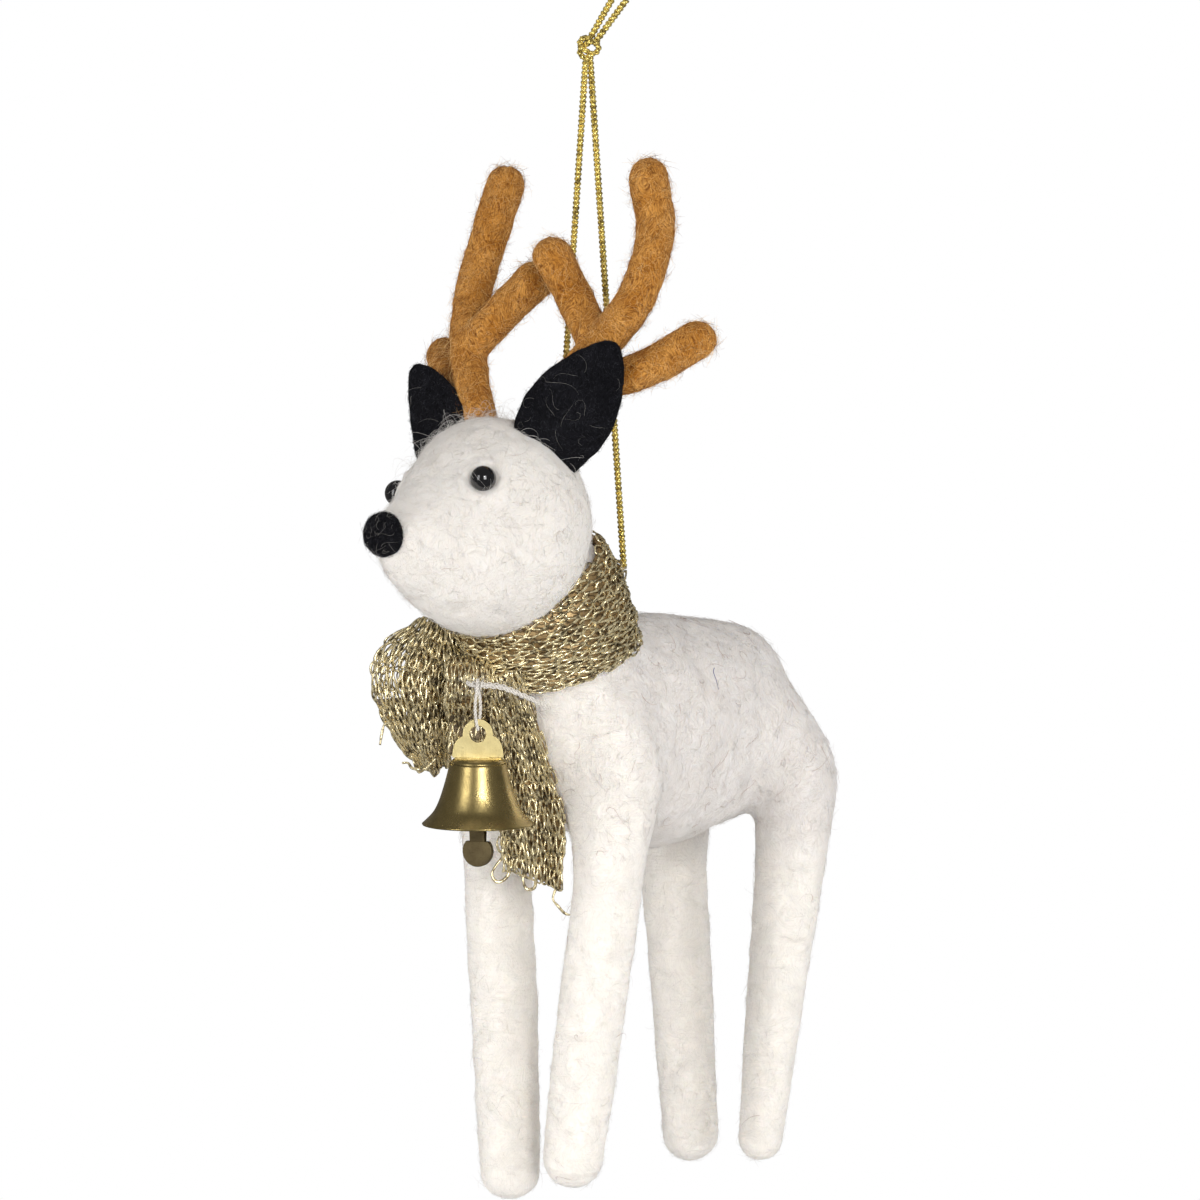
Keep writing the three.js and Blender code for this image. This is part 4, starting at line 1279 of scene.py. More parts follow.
@dataclass
class HangingCord:
    """The braided cord: two strands, the knot's turns, and two cut tails."""

    layout: Layout
    finishes: Finishes
    knot_height: float = 4.0
    knot_size: float = 0.56
    knot_parting: float = 0.42
    knot_open: float = 0.42
    knot_squeeze: float = 0.86
    plait_turn: float = 1.55
    plait_radius: float = 0.3
    plait_swell: float = 0.09
    ply_radius: float = 0.24
    strand_turn: float = 13.0
    tail: float = 7.4
    tail_lean: float = 33.0
    tail_spread: float = 7.0

    @property
    def knot_centre(self) -> Array:
        """The middle of the knot."""
        return np.array([0.0, 0.0, self.knot_height / 2 + self.layout.gap])

    def plait(self, path: Array, squeeze: float = 1.0) -> tuple[Shell, Array]:
        """Four plies plaited about a path.

        A ply's angle is +-2 * pi * run / plait_turn, two each way, and its distance from the path
        swells and shrinks four times a turn, as the plies cross over and under.

        Args:
            path: the cord's middle line, at close even steps.
            squeeze: the plait's thickness, in shares of its own.

        Returns:
            The plies and the run of each of their places.
        """
        onward, side, across = frames(path, np.array([0.3, 0.9, 0.1]))
        run = run_along(path)
        turn = 2 * np.pi * run / self.plait_turn
        plies = []
        for way, start in ((1, 0.0), (1, np.pi), (-1, np.pi / 2), (-1, 3 * np.pi / 2)):
            swell = self.plait_radius + way * self.plait_swell * np.sin(2 * turn + 0.4)
            plies.append(path + squeeze * swell[:, None] * turned(way * turn + start, side, across))
        plies = np.array(plies)
        shell = tube(plies, self.ply_radius * squeeze, 6, onward[None] + 0.2 * side[None])
        runs = np.repeat(np.tile(run, 4), 6)
        return shell, np.concatenate([runs, np.zeros(8)])

    def route(self, side: Side) -> Array:
        """A strand's straight run from the scarf to the knot."""
        turn = math.radians(self.strand_turn)
        beside = -side.value * (self.layout.cord / 2 + self.layout.gap / 2)
        top = self.knot_centre + beside * np.array([math.cos(turn), math.sin(turn), 0.0])
        top = top - np.array([0, 0, self.knot_height / 2 - 0.5])
        return spaced(np.array([self.layout.exit(side), top]), 640)

    def turns(self, offset: float) -> Array:
        """The knot's path: a trefoil on a ring, open at one lobe, seen face on from the camera.

        x = (2 + cos 3t) cos 2t, y = (2 + cos 3t) sin 2t, z = sin 3t, scaled to the knot's size.
        """
        t = np.linspace(self.knot_open, 2 * np.pi - self.knot_open, 150) + np.pi
        ring = 2 + np.cos(3 * t)
        flat = np.stack([ring * np.cos(2 * t), ring * np.sin(2 * t), np.sin(3 * t)], -1)
        right, forward = self.layout.chest_across, self.layout.chest_forward
        places = flat[:, :1] * right + flat[:, 1:2] * UP + flat[:, 2:] * forward
        return self.knot_centre + self.knot_size * places + offset * forward

    def braid(self, name: str, shell: Shell, run: Array, node: str) -> Object:
        """Puts a piece of braid in the scene, with its run in the attribute along."""
        mesh = mesh_from(name, shell)
        set_attribute(mesh, "along", run)
        return add_piece(name, mesh, self.finishes.braid, "gold_braid", [node], "hanger")

    def build(self) -> None:
        halves = (self.turns(offset) for offset in (-self.knot_parting, self.knot_parting))
        shells, runs = zip(*(self.plait(spaced(half, 260), self.knot_squeeze) for half in halves))
        pieces = [self.braid("cord_knot_turns", joined(shells), np.concatenate(runs), "cord_knot")]
        for side in Side:
            lean = math.radians(self.tail_lean - side.value * self.tail_spread / 2)
            rise = math.cos(lean) * UP + math.sin(lean) * self.layout.chest_across
            root = self.knot_centre + side.value * (self.layout.cord + self.layout.gap) / 2 * ASIDE
            ends = np.array([root + 0.6 * rise, root + rise * (self.knot_height / 2 + self.tail)])
            plait = self.plait(spaced(ends, 90))
            pieces.append(self.braid(f"braid_tail_{side.label}", *plait, f"cord_tail_{side.label}"))
        for side in Side:
            path = self.route(side)
            plait = self.plait(path)
            strand = self.braid(f"braid_strand_{side.label}", *plait, f"cord_strand_{side.label}")
            tuple(self.layout.exit(side) * MM)
            path_length(path) * MM
            [tuple(p) for p in spaced(path, 30) * MM]


@dataclass
class WoolBody:
    """Body, neck and legs, felted in one."""

    layout: Layout
    finishes: Finishes
    length: float = 63.5
    width: float = 32.5
    height: float = 36.6
    set_back: float = 13.4
    drop: float = 26.6
    neck_root: float = 27.0
    neck_top: float = 25.4
    neck_rise: float = 7.0
    shoulder: float = 17.4
    leg: float = 10.8
    leg_span: float = 43.3
    hoof: dict[str, float] = sizes(front_left=9.6, front_right=9.6, hind_left=7.4, hind_right=9.2)
    leg_drop: dict[str, float] = sizes(
        front_left=99.2, front_right=102.8, hind_left=100.6, hind_right=102.6
    )
    hip_spread: dict[str, float] = sizes(front=24.6, hind=26.8)
    hoof_spread: dict[str, float] = sizes(front=13.8, hind=15.4)
    hoof_forward: dict[str, float] = sizes(front=3.0, hind=1.0)
    blending: int = 160
    padding: float = 0.35
    sag: float = 1.5
    sag_reach: float = 9.0
    winding: float = 0.12
    hair_off: float = 0.07
    voxel: float = 0.55
    fuzz_parting: float = -132.0
    shade_low: float = -126.0

    BLUE_HAIR = ((713, 668), (714, 672), (716, 680), (718, 689))
    LEGS = tuple((end, side) for end in ("front", "hind") for side in Side)
    SHAPE = (
        (1.1, 1, 1),
        (1.08, 1, 1),
        (1.04, 1.01, 1.05),
        (1, 0.97, 1.05),
        (1, 0.99, 1.14),
        (1.04, 1.33, 1.45),
        (1.1, 1.4, 1.7),
    )
    PATHS = {
        "front": ((0.46, 0.13, -0.5), (0.88, 0.04, 0.42), (0.98, 0, 1.12)),
        "hind": ((0.66, 0.07, 0), (0.94, -0.03, 0.6), (0.98, -0.01, 1.12)),
    }
    GIRTH = {
        "front": (1, 1, 0.8, 0.16, 0, -0.08, -0.24, -0.55, -1),
        "hind": (1, 0.84, 0.3, 0.08, -0.12, -0.38, -0.56, -0.82, -1),
    }

    @property
    def egg(self) -> Egg:
        """The body without its neck."""
        centre = self.layout.origin + np.array([self.set_back, 0, -self.drop])
        return Egg(self.length, self.width, self.height, centre, self.SHAPE)

    def neck_shell(self) -> Shell:
        """The neck, from inside the body up into the head."""
        centre = self.egg.centre
        root = centre + np.array([-self.length * 0.22, 0, -self.height * 0.13])
        top = self.layout.centre + self.neck_rise * self.layout.up
        path = smooth_path([root, self.layout.centre, top], 40)
        radii = table((self.neck_root / 2, self.layout.neck / 2, self.neck_top / 2), np.linspace(0, 1, 40))
        return limb(path, radii, 64, np.array([0, 1, 0]), 0.5)

    def leg_path(self, end: str, side: Side, count: int = 80) -> Array:
        """The middle line of a leg."""
        name = f"{end}_{side.label}"
        middle = self.layout.origin[2] - self.drop
        hip = self.set_back + (-1 if end == "front" else 1) * self.leg_span / 2
        spread, towards, deep = np.array(self.PATHS[end]).T
        x = hip + (1 if end == "front" else -1) * towards * self.leg_span
        y = side.value * spread * self.hip_spread[end] / 2
        points = list(np.stack([x, y, middle - deep * self.height / 2], -1))
        sole = self.layout.origin[2] - self.leg_drop[name] + self.hoof[name] / 2
        ankle = np.array([hip - self.hoof_forward[end], side.value * self.hoof_spread[end] / 2, sole])
        return smooth_path([*points, (points[2] + ankle) / 2, ankle], count)

    def leg_shell(self, end: str, side: Side) -> Shell:
        """One leg, with the swell of its shoulder and slight dents from winding."""
        path = self.leg_path(end, side)
        share = np.linspace(0, 1, len(path))
        girth = table(self.GIRTH[end], share)
        hoof = self.hoof[f"{end}_{side.label}"]
        swell = np.where(girth > 0, girth * (self.shoulder - self.leg), girth * (self.leg - hoof))
        radii = (self.leg + swell) / 2
        taper = 0.62 if end == "front" else 0.86
        radii = radii * (taper + (1 - taper) * smoothstep(0, 0.15, share))
        return limb(path, radii + self.winding, 48, np.array([1, 0, 0.05]))

    def build(self) -> Mesh:
        """Makes the felted skin and its fibres.

        Returns:
            The skin's mesh.
        """
        legs = [self.leg_shell(*leg) for leg in self.LEGS]
        mesh = fused("wool_body", [self.egg.shell(), self.neck_shell(), *legs], self.voxel, 14)
        places = places_of(mesh)
        middle = self.layout.origin[2] - self.drop
        hips = middle - self.height * 0.5
        wrapped = smoothstep(-hips - 4, -hips + 10, -places[:, 2])
        chest = smoothstep(-2, 14, -places[:, 0] + 0.25 * (middle - places[:, 2]))
        # Painted light, in part: the legs and, at 0.85, the chest front take the lighter wrap colour.
        cream_and_painted_light = np.maximum(wrapped, 0.85 * chest)
        ahead = smoothstep(-4, 8, self.set_back - places[:, 0])
        above = smoothstep(-3, 9, places[:, 2] - hips + 12 * ahead)
        move_places(mesh, relaxed(mesh, above, self.blending))
        places = places_of(mesh) + self.padding * above[:, None] * normals_of(mesh)
        between = np.exp(-(((places[:, 0] - self.set_back) / self.sag_reach) ** 2))
        places[:, 2] -= self.sag * between * smoothstep(4, 16, hips + self.height / 2 - places[:, 2])
        lumps = 0.07 * ripple(places, 9.0, 3) + 0.06 * ripple(places * np.array([1, 1, 0.5]), 3.2, 4)
        lumps += 0.035 * ripple(places, 1.7, 5)
        dents = 0.05 * ripple(places * np.array([0.35, 0.35, 1.0]), 5.0, 6) * wrapped
        move_places(mesh, places + normals_of(mesh) * (lumps * (1 - 0.6 * wrapped) + dents)[:, None])
        set_attribute(mesh, "wrapped", cream_and_painted_light)
        nodes = ["body"] + [f"leg_{end}_{side.label}" for end, side in self.LEGS]
        add_piece("wool_body", mesh, self.finishes.wool, "wool", nodes)
        self.add_coats(mesh)
        return mesh

    def add_coats(self, mesh: Mesh) -> None:
        """Grows short fuzz all over, and darker and stray hairs mostly above the legs."""
        felt = self.finishes.felt
        fuzz = Coat(6000, length=2.2, lift=0.09, diameter=0.04, steps=4, seed=11)
        fuzz.add("body_fuzz", mesh, self.finishes.wool, "wool", more_above(self.fuzz_parting, 0.0))
        fuzz = Coat(5500, length=2.0, lift=0.06, diameter=0.04, steps=4, seed=12)
        fuzz.add("leg_fuzz", mesh, self.finishes.head, "leg_wool", lambda p: p[:, 2] <= self.fuzz_parting)
        fuzz = Coat(2600, length=3.0, lift=0.03, curl=1.6, loose=0.04, seed=14)
        fuzz.add("body_shade_fuzz", mesh, felt["shade_wool"], "wool", more_above(self.shade_low, 0.12))
        hairs = Coat(230, length=4.6, lift=0.05, diameter=0.06, curl=4.0, loose=0.1, steps=10, seed=13)
        hairs.add("body_stray_hairs", mesh, felt["stray_hair"], "wool", more_above(self.shade_low, 0.1))

    def add_blue_hair(self, view: View, mesh: Mesh) -> None:
        """Lays the one short blue hair on the flank, where the photograph shows it."""
        places, facing = places_of(mesh), normals_of(mesh)
        column, row = view.column_row(places)
        seen = facing @ view.towards > 0.3

        def nearest(at_column: float, at_row: float) -> Array:
            """The place on the skin seen at a pixel."""
            off = (column - at_column) ** 2 + (row - at_row) ** 2 + np.where(seen, 0, 1e6)
            i = int(np.argmin(off))
            return places[i] + self.hair_off * facing[i]

        path = smooth_path([nearest(*pixel) for pixel in self.BLUE_HAIR], 20)
        shell = tube(path, 0.06 * np.linspace(1, 0.4, 20), 5, view.towards)
        add_piece("blue_hair", mesh_from("blue_hair", shell), self.finishes.felt["blue_hair"], "wool")


@dataclass
class Head:
    """The head with its nose and bead eyes."""

    layout: Layout
    finishes: Finishes
    length: float = 40.4
    width: float = 31.4
    height: float = 34.8
    ahead: float = 16.9
    above: float = 15.85
    lean: float = 0.055
    nose: float = 6.9
    nose_length: float = 5.4
    eye: float = 4.1
    eye_proud: float = 0.06
    eye_along: dict[str, float] = sizes(left=73.0, right=78.0)
    eye_height: dict[str, float] = sizes(left=45.0, right=22.0)
    dimple: float = 0.7
    dimple_radius: float = 2.0
    rim: float = 0.5
    rim_radius: float = 3.1
    rim_width: float = 0.9
    crown_radius: float = 9.0
    voxel: float = 0.5

    SHAPE = (
        (0.48, 0.36, 0.74),
        (0.53, 0.4, 0.78),
        (0.63, 0.53, 0.84),
        (0.95, 0.93, 0.98),
        (1.1, 1.07, 1.09),
        (1.15, 1.14, 1.14),
        (1.15, 1.14, 1.14),
    )

    @property
    def centre(self) -> Array:
        """The middle of the head."""
        return self.layout.centre + np.array([-self.ahead, 0, self.above])

    @property
    def egg(self) -> Egg:
        """The head's form."""
        return Egg(self.length, self.width, self.height, self.centre, self.SHAPE)

    def place(self, side: Side, back: float, out: float, up: float) -> Array:
        """A place on the head: back from its middle, out to a side, and up, with the head's lean."""
        return self.centre + np.array([back, side.value * out, up - side.value * out * self.lean])

    def eye_centre(self, side: Side) -> tuple[Array, Array]:
        """The middle of an eye, and the way it looks."""
        height = math.radians(self.eye_height[side.label])
        around = height if side is Side.RIGHT else math.pi - height
        along = math.radians(self.eye_along[side.label])
        centre = self.egg.surface(np.array(along), np.array(around))
        out = unit(centre - self.centre)
        return centre + out * self.eye * self.eye_proud, out

    def build_skull(self) -> None:
        """Makes the head's skin, with a dimple round each eye, and its fibres."""
        mesh = fused("wool_head", [self.egg.shell()], self.voxel, 4)
        places = places_of(mesh)
        push = 0.12 * ripple(places, 9.0, 21) + 0.05 * ripple(places, 3.8, 22)
        push += 0.012 * ripple(places, 1.8, 23)
        eyes = [self.eye_centre(side)[0] for side in Side]
        for eye in eyes:
            away = np.linalg.norm(places - eye, axis=1)
            push += self.rim * np.exp(-(((away - self.rim_radius) / self.rim_width) ** 2))
            push -= self.dimple * np.exp(-((away / self.dimple_radius) ** 2))
        push_out(mesh, push)
        add_piece("wool_head", mesh, self.finishes.head, "wool", ["head"])
        crown = self.centre + np.array([-2.0, 0, self.height / 2])

        def clear_of_eyes(p: Array) -> Array:
            """Fewer hairs over the beads."""
            away = [np.linalg.norm(p - eye, axis=1) for eye in eyes]
            return np.prod([smoothstep(2.2, 3.4, far) + 0.03 for far in away], axis=0)

        def on_crown(p: Array) -> Array:
            """More hairs at the top of the head."""
            away = np.linalg.norm(p - crown, axis=1) / self.crown_radius
            return np.exp(-(away**2)) + 0.004

        fuzz = Coat(6400, length=2.4, lift=0.11, diameter=0.04, steps=4, seed=31)
        fuzz.add("head_fuzz", mesh, self.finishes.head, "wool", clear_of_eyes)
        fuzz = Coat(420, length=4.5, lift=0.7, diameter=0.04, curl=3.2, loose=0.5, steps=10, seed=32)
        fuzz.add("crown_fuzz", mesh, self.finishes.head, "wool", on_crown)
        hairs = Coat(40, length=3.0, lift=0.03, diameter=0.045, curl=3.0, loose=0.1, steps=9, seed=33)
        hairs.add("head_stray_hairs", mesh, self.finishes.felt["stray_hair"], "wool", clear_of_eyes)

    def build_nose(self) -> None:
        """Makes the felt button on the muzzle, with its nap, whose lighter hairs are partly painted sheen,
        and grey lint.
        """
        felt = self.finishes.felt
        egg = Egg(self.nose_length, self.nose, self.nose, np.zeros(3), ((1, 1, 1),) * 4)
        shell = egg.shell(48, 64)
        front = self.centre[0] - self.length / 2 + self.nose_length * 0.06
        points = shell.points * (1 + 0.025 * ripple(shell.points, 3.0, 41)[:, None])
        points = points + np.array([front, 0, self.centre[2]])
        mesh = mesh_from("felt_nose", Shell(points, shell.quads, shell.tris))
        add_piece("felt_nose", mesh, felt["black_felt"], "black_felt", ["nose"])
        nap = Coat(1500, length=0.7, lift=0.09, diameter=0.045, seed=42)
        nap.add("nose_nap", mesh, felt["black_felt"], "black_felt")
        # The lighter nap is partly painted sheen.
        nap = Coat(900, length=0.7, lift=0.09, diameter=0.04, seed=44)
        nap.add("nose_nap_sheen", mesh, felt["black_nap_sheen"], "black_felt")
        lint = Coat(34, length=3.0, lift=0.06, diameter=0.035, curl=3.5, loose=0.1, steps=12, seed=43)
        lint.add("nose_lint", mesh, felt["lint"], "black_felt", lambda p: p[:, 0] < front - 0.4)

    def build_eyes(self) -> None:
        """Makes the two glossy beads."""
        turn = np.linspace(0, np.pi, 41)[1:-1, None, None]
        for side in Side:
            centre, out = self.eye_centre(side)
            _, right, up = (x[0] for x in frames(np.array([[0.0, 0, 0], out]), UP))
            ring = turned(full_turn(64), right, up)
            rings = centre + self.eye / 2 * (np.sin(turn) * ring[None] - np.cos(turn) * out)
            name = f"bead_{side.label}"
            mesh = mesh_from(name, skin(rings))
            add_piece(name, mesh, self.finishes.bead, "black_bead", [f"eye_{side.label}"])

    def build(self) -> None:
        """Makes the head."""
        self.build_skull()
        self.build_nose()
        self.build_eyes()


@dataclass
class Antlers:
    """Two antlers, each a rolled beam with an inner and an outer tine felted on."""

    head: Head
    finishes: Finishes
    tip: float = 6.2
    root: float = 5.4
    height: float = 54.0
    reach: float = 15.5
    back: float = 24.7
    outer_reach: float = 27.2
    inner_reach: float = 3.7
    voxel: float = 0.38

    BEAM = ((0.3, 0.2, 0.22), (0.5, 0.76, 0.45), (0.76, 1.14, 0.64), (0.95, 1.16, 0.85), (1, 1, 1))
    ROOTS = {"inner": 0.4, "outer": 0.22}
    MIDDLES = {"inner": (0.68, 0.48, 0.64), "outer": (0.73, 1.35, 0.445)}
    INNER = {Side.LEFT: (0.61, 0.78), Side.RIGHT: (0.76, 0.71)}
    OUTER = {Side.LEFT: (0.93, 0.52), Side.RIGHT: (0.93, 0.495)}
    LEAN = np.array([1.0, 0.15, -0.45])

    def place(self, side: Side, shares: Sequence[float]) -> Array:
        """A place given in shares of the beam's tip."""
        back, out, up = shares
        return self.head.place(side, back * self.back, out * self.reach, up * self.height)

    def paths(self, side: Side) -> list[Array]:
        """The middle lines of the beam and its tines."""
        beam = smooth_path([self.place(side, row) for row in self.BEAM], 201)
        lines = [beam]
        tips = {"inner": (self.INNER[side], self.inner_reach), "outer": (self.OUTER[side], self.outer_reach)}
        for kind, ((back, up), reach) in tips.items():
            tip = self.head.place(side, back * self.back, reach, up * self.height)
            start = beam[round(self.ROOTS[kind] * 200)]
            lines.append(smooth_path([start, self.place(side, self.MIDDLES[kind]), tip], 80))
        return lines

    def build(self) -> None:
        """Makes both antlers and their fibres."""
        felt = self.finishes.felt
        for side in Side:
            shells = []
            for line in self.paths(side):
                radii = np.linspace(self.root, self.tip, len(line)) / 2
                shells.append(limb(line, radii, 32, self.LEAN))
            name = f"wool_antler_{side.label}"
            mesh = fused(name, shells, self.voxel, 9)
            places = places_of(mesh)
            push_out(mesh, 0.1 * ripple(places, 6.0, 51) + 0.04 * ripple(places, 2.4, 52) + 0.08)
            nodes = [f"antler_{part}_{side.label}" for part in ("beam", "inner_tine", "outer_tine")]
            add_piece(name, mesh, self.finishes.antler, "antler_wool", nodes)
            fuzz = Coat(2600, length=2.4, lift=0.018, diameter=0.045, curl=1.6, loose=0.01, seed=53)
            fuzz.add(f"antler_fuzz_{side.label}", mesh, felt["antler_dark_hair"], "antler_wool")
            fuzz = Coat(2600, length=2.6, lift=0.018, diameter=0.045, curl=1.8, loose=0.01, seed=54)
            fuzz.add(f"antler_light_hairs_{side.label}", mesh, felt["antler_hair"], "antler_wool")


@dataclass
class Ears:
    """Two cupped leaves of pressed black felt."""

    head: Head
    finishes: Finishes
    length: float = 20.5
    width: float = 14.6
    felt: float = 1.3
    cup: float = 1.5
    root_depth: float = 3.0
    twist: dict[str, float] = sizes(left=0.0, right=38.0)
    rounded: float = 0.1
    rim: float = 0.04

    PLACES = {Side.LEFT: (0.18, 0.62, 0.7), Side.RIGHT: (0.15, 0.62, 0.48)}
    LEAF = (0.78, 0.9, 1, 0.96, 0.8, 0.54, 0.26)
    RISE = np.array([0.16, 0.56, 0.82])
    ACROSS = np.array([0.62, 0.5, -0.6])

    def shell(self, side: Side) -> Shell:
        """One ear: a leaf whose edges curl forward, rounded at its rim.

        Across it, lift = cup * (s^2 - 0.4) * leaf and half thickness = felt / 2 * (1 - s^8)^0.5,
        where s runs from -1 to 1.
        """
        way = side.value
        mirror = np.array([1, way, 1])
        rise = unit(self.RISE * mirror)
        back, out, up = self.PLACES[side]
        head = self.head
        root = head.place(side, back * head.length, out * head.width / 2, up * head.height / 2)
        across = self.ACROSS * mirror
        angle = way * math.radians(self.twist[side.label])
        across = (
            across * math.cos(angle)
            + np.cross(rise, across) * math.sin(angle)
            + rise * (rise @ across) * (1 - math.cos(angle))
        )
        across = unit(across - (across @ rise) * rise)
        forward = np.cross(rise, across)
        share = np.linspace(0, 1, 61)
        tip = np.sqrt(1 - np.clip((share - 1 + self.rounded) / self.rounded, 0, 1) ** 2)
        leaf = np.maximum(table(self.LEAF, share) * tip, 0.02)
        s = np.cos(np.linspace(0, np.pi, 25))
        thick = self.felt / 2 * np.sqrt(np.maximum(1 - np.abs(s) ** 8, 0)) + 0.02
        line = root + rise * np.linspace(-self.root_depth, self.length, 61)[:, None]
        lift = -way * self.cup * (s[None] ** 2 - 0.4) * leaf[:, None]
        edge = np.minimum(1, np.sqrt(np.maximum(1 - share, 0) / self.rim))[:, None]
        middle = line[:, None] + (self.width / 2 * leaf[:, None] * s[None])[..., None] * across
        front = middle + (lift + thick * np.maximum(edge, 0.1))[..., None] * forward
        rear = middle + (lift - thick * np.maximum(edge, 0.1))[..., None] * forward
        return skin(np.concatenate([front, rear[:, ::-1]], axis=1), Ends.FLAT)

    def build(self) -> None:
        """Makes both ears with their nap, whose lighter hairs are partly painted sheen, and a few light
        hairs.
        """
        felt = self.finishes.felt
        for side in Side:
            name = f"felt_ear_{side.label}"
            mesh = mesh_from(name, self.shell(side))
            push_out(mesh, 0.06 * ripple(places_of(mesh), 3.0, 61))
            add_piece(name, mesh, felt["black_felt"], "black_felt", [f"ear_{side.label}"])
            nap = Coat(2600, length=0.8, lift=0.07, diameter=0.045, seed=62)
            nap.add(f"ear_nap_{side.label}", mesh, felt["black_felt"], "black_felt")
            # The lighter nap is partly painted sheen.
            nap = Coat(2400, length=0.8, lift=0.1, diameter=0.04, seed=64)
            nap.add(f"ear_light_nap_{side.label}", mesh, felt["black_nap_sheen"], "black_felt")
            lint = Coat(34, length=5.0, lift=0.05, diameter=0.035, curl=3.2, loose=0.1, steps=12, seed=63)
            lint.add(f"ear_lint_{side.label}", mesh, felt["lint"], "black_felt")


Surface = Callable[[Array, Array], tuple[Array, Array]]


@dataclass
class Knitting:
    """Plain knitting of metallic yarn over a surface. Rows cross the strip, and wales run along it."""

    wales: int
    rows: int
    yarn: float = 0.48
    reach: float = 0.68
    neck: float = 0.27
    depth: float = 0.3
    wander: float = 0.17
    samples: int = 18
    flatten: float = 0.6
    twist: float = 0.8
    seed: int = 5

    def path(self, surface: Surface) -> tuple[Array, Array]:
        """The yarn's middle line, there and back across the strip until the last row.

        In a stitch, with t from 0 to 2 pi: across = t / (2 pi) + neck * sin(2 t), along =
        -reach * cos(t), and the height over the surface is -depth * cos(2 t), so that a loop's legs
        lie in front of the head of the loop that they come through. At the edge the yarn runs on to
        the next row.

        Args:
            surface: gives the places and facing of a surface at shares along and across.

        Returns:
            The places, and the facing at each.
        """
        rng = np.random.default_rng(self.seed)
        t = 2 * np.pi * self.wales * np.linspace(0, 1, self.wales * self.samples + 1)
        shake = rng.normal(size=(self.rows, self.wales + 2, 4))
        at = np.linspace(0, self.wales, len(t))
        low = at.astype(int)
        part = (at - low)[:, None]
        shake = shake[:, low] * (1 - part) + shake[:, low + 1] * part
        across = t / (2 * np.pi) + self.neck * np.sin(2 * t) + self.wander * 0.7 * shake[..., 0]
        row = np.arange(self.rows)[:, None] + 0.5
        along = row - self.reach * (1 + self.wander * shake[..., 1]) * np.cos(t)
        along = along + self.wander * 0.8 * shake[..., 2]
        off = 1.2 * self.wander * shake[..., 3] - self.depth * np.cos(2 * t)
        course = np.stack([along, 2 * across / self.wales - 1, off], -1)
        course[1::2] = course[1::2, ::-1]
        share = np.linspace(0, 1, 8)[1:-1, None]
        link = course[:-1, -1:] * (1 - share) + course[1:, :1] * share
        link[..., 1] *= 1.0 + 0.06 * np.sin(np.pi * share[:, 0])
        parts = np.concatenate([course[:-1], link], axis=1).reshape(-1, 3)
        whole = np.concatenate([parts, course[-1]])
        places, facing = surface(np.clip(whole[:, 0] / self.rows, 0, 1), np.clip(whole[:, 1], -1.1, 1.1))
        return places + whole[:, 2:] * facing, facing

    def mesh(self, name: str, surface: Surface) -> Mesh:
        """The knitting as one tube of yarn, with its run in millimetres in the attribute along."""
        path, facing = self.path(surface)
        run, sides = run_along(path), 6
        shell = tube(path, self.yarn / 2, sides, facing + 0.02, self.flatten, run * self.twist)
        made = mesh_from(name, shell)
        set_attribute(made, "along", np.concatenate([np.repeat(run, sides), run[[0, -1]]]))
        return made


@dataclass
class ScarfEnd:
    """One end of the scarf: a strip that hangs along a line and is gathered across."""

    layout: Layout
    path: Sequence[Sequence[float]]
    length: float
    width: float
    widths: Sequence[float]
    cup: float = 0.0
    fold_depth: float = 0.07

    def line(self, count: int = 200) -> Array:
        """The middle line, cut to the end's length."""
        outside = self.layout.ring + self.layout.band / 2
        points = np.array([self.layout.centre - outside * np.array(row) for row in self.path])
        whole = path_length(smooth_path(points, 400))
        return smooth_path(points[0] + (points - points[0]) * self.length / whole, count)

    def surface(self, pleats: float, off: float, slant: float = 0.0) -> Surface:
        """The surface of the end.

        Across it, lift = -cup * width * v^2 + fold_depth * width * u * cos(2 pi v) + pleats *
        cos(3 pi v + 2 sin(5 u)).

        Args:
            pleats: the depth of its gathers, in millimetres.
            off: how far in front of its middle the surface lies, in millimetres.
            slant: how much shorter its left side is, in shares of its length.

        Returns:
            The surface.
        """
        line = self.line()
        _, across, out = frames(line, self.layout.chest_across)

        def surface(u: Array, v: Array) -> tuple[Array, Array]:
            """Places and facing at shares down and across the end."""
            u = u * (1 - slant * smoothstep(-1.2, 1.2, -v))
            at = u * (len(line) - 1)
            i = np.minimum(at.astype(int), len(line) - 2)
            t = (at - i)[..., None]
            centre = line[i] * (1 - t) + line[i + 1] * t
            side, front = across[i], out[i]
            half = self.width / 2 * table(self.widths, u)
            folds = self.fold_depth * self.width * u * np.cos(2 * np.pi * v)
            wave = 3 * np.pi * v + 2 * np.sin(5 * u)
            gathers = pleats * np.cos(wave) * (0.6 + 0.4 * np.cos(7 * u))
            lift = -self.cup * self.width * v**2 + folds + gathers + off
            steep = 3 * np.pi * pleats * np.sin(wave)
            slope = (2 * self.cup * self.width * v + steep) / half
            facing = unit(front + (0.6 * np.clip(slope, -2, 2))[..., None] * side)
            return centre + (half * v)[..., None] * side + lift[..., None] * front, facing

        return surface


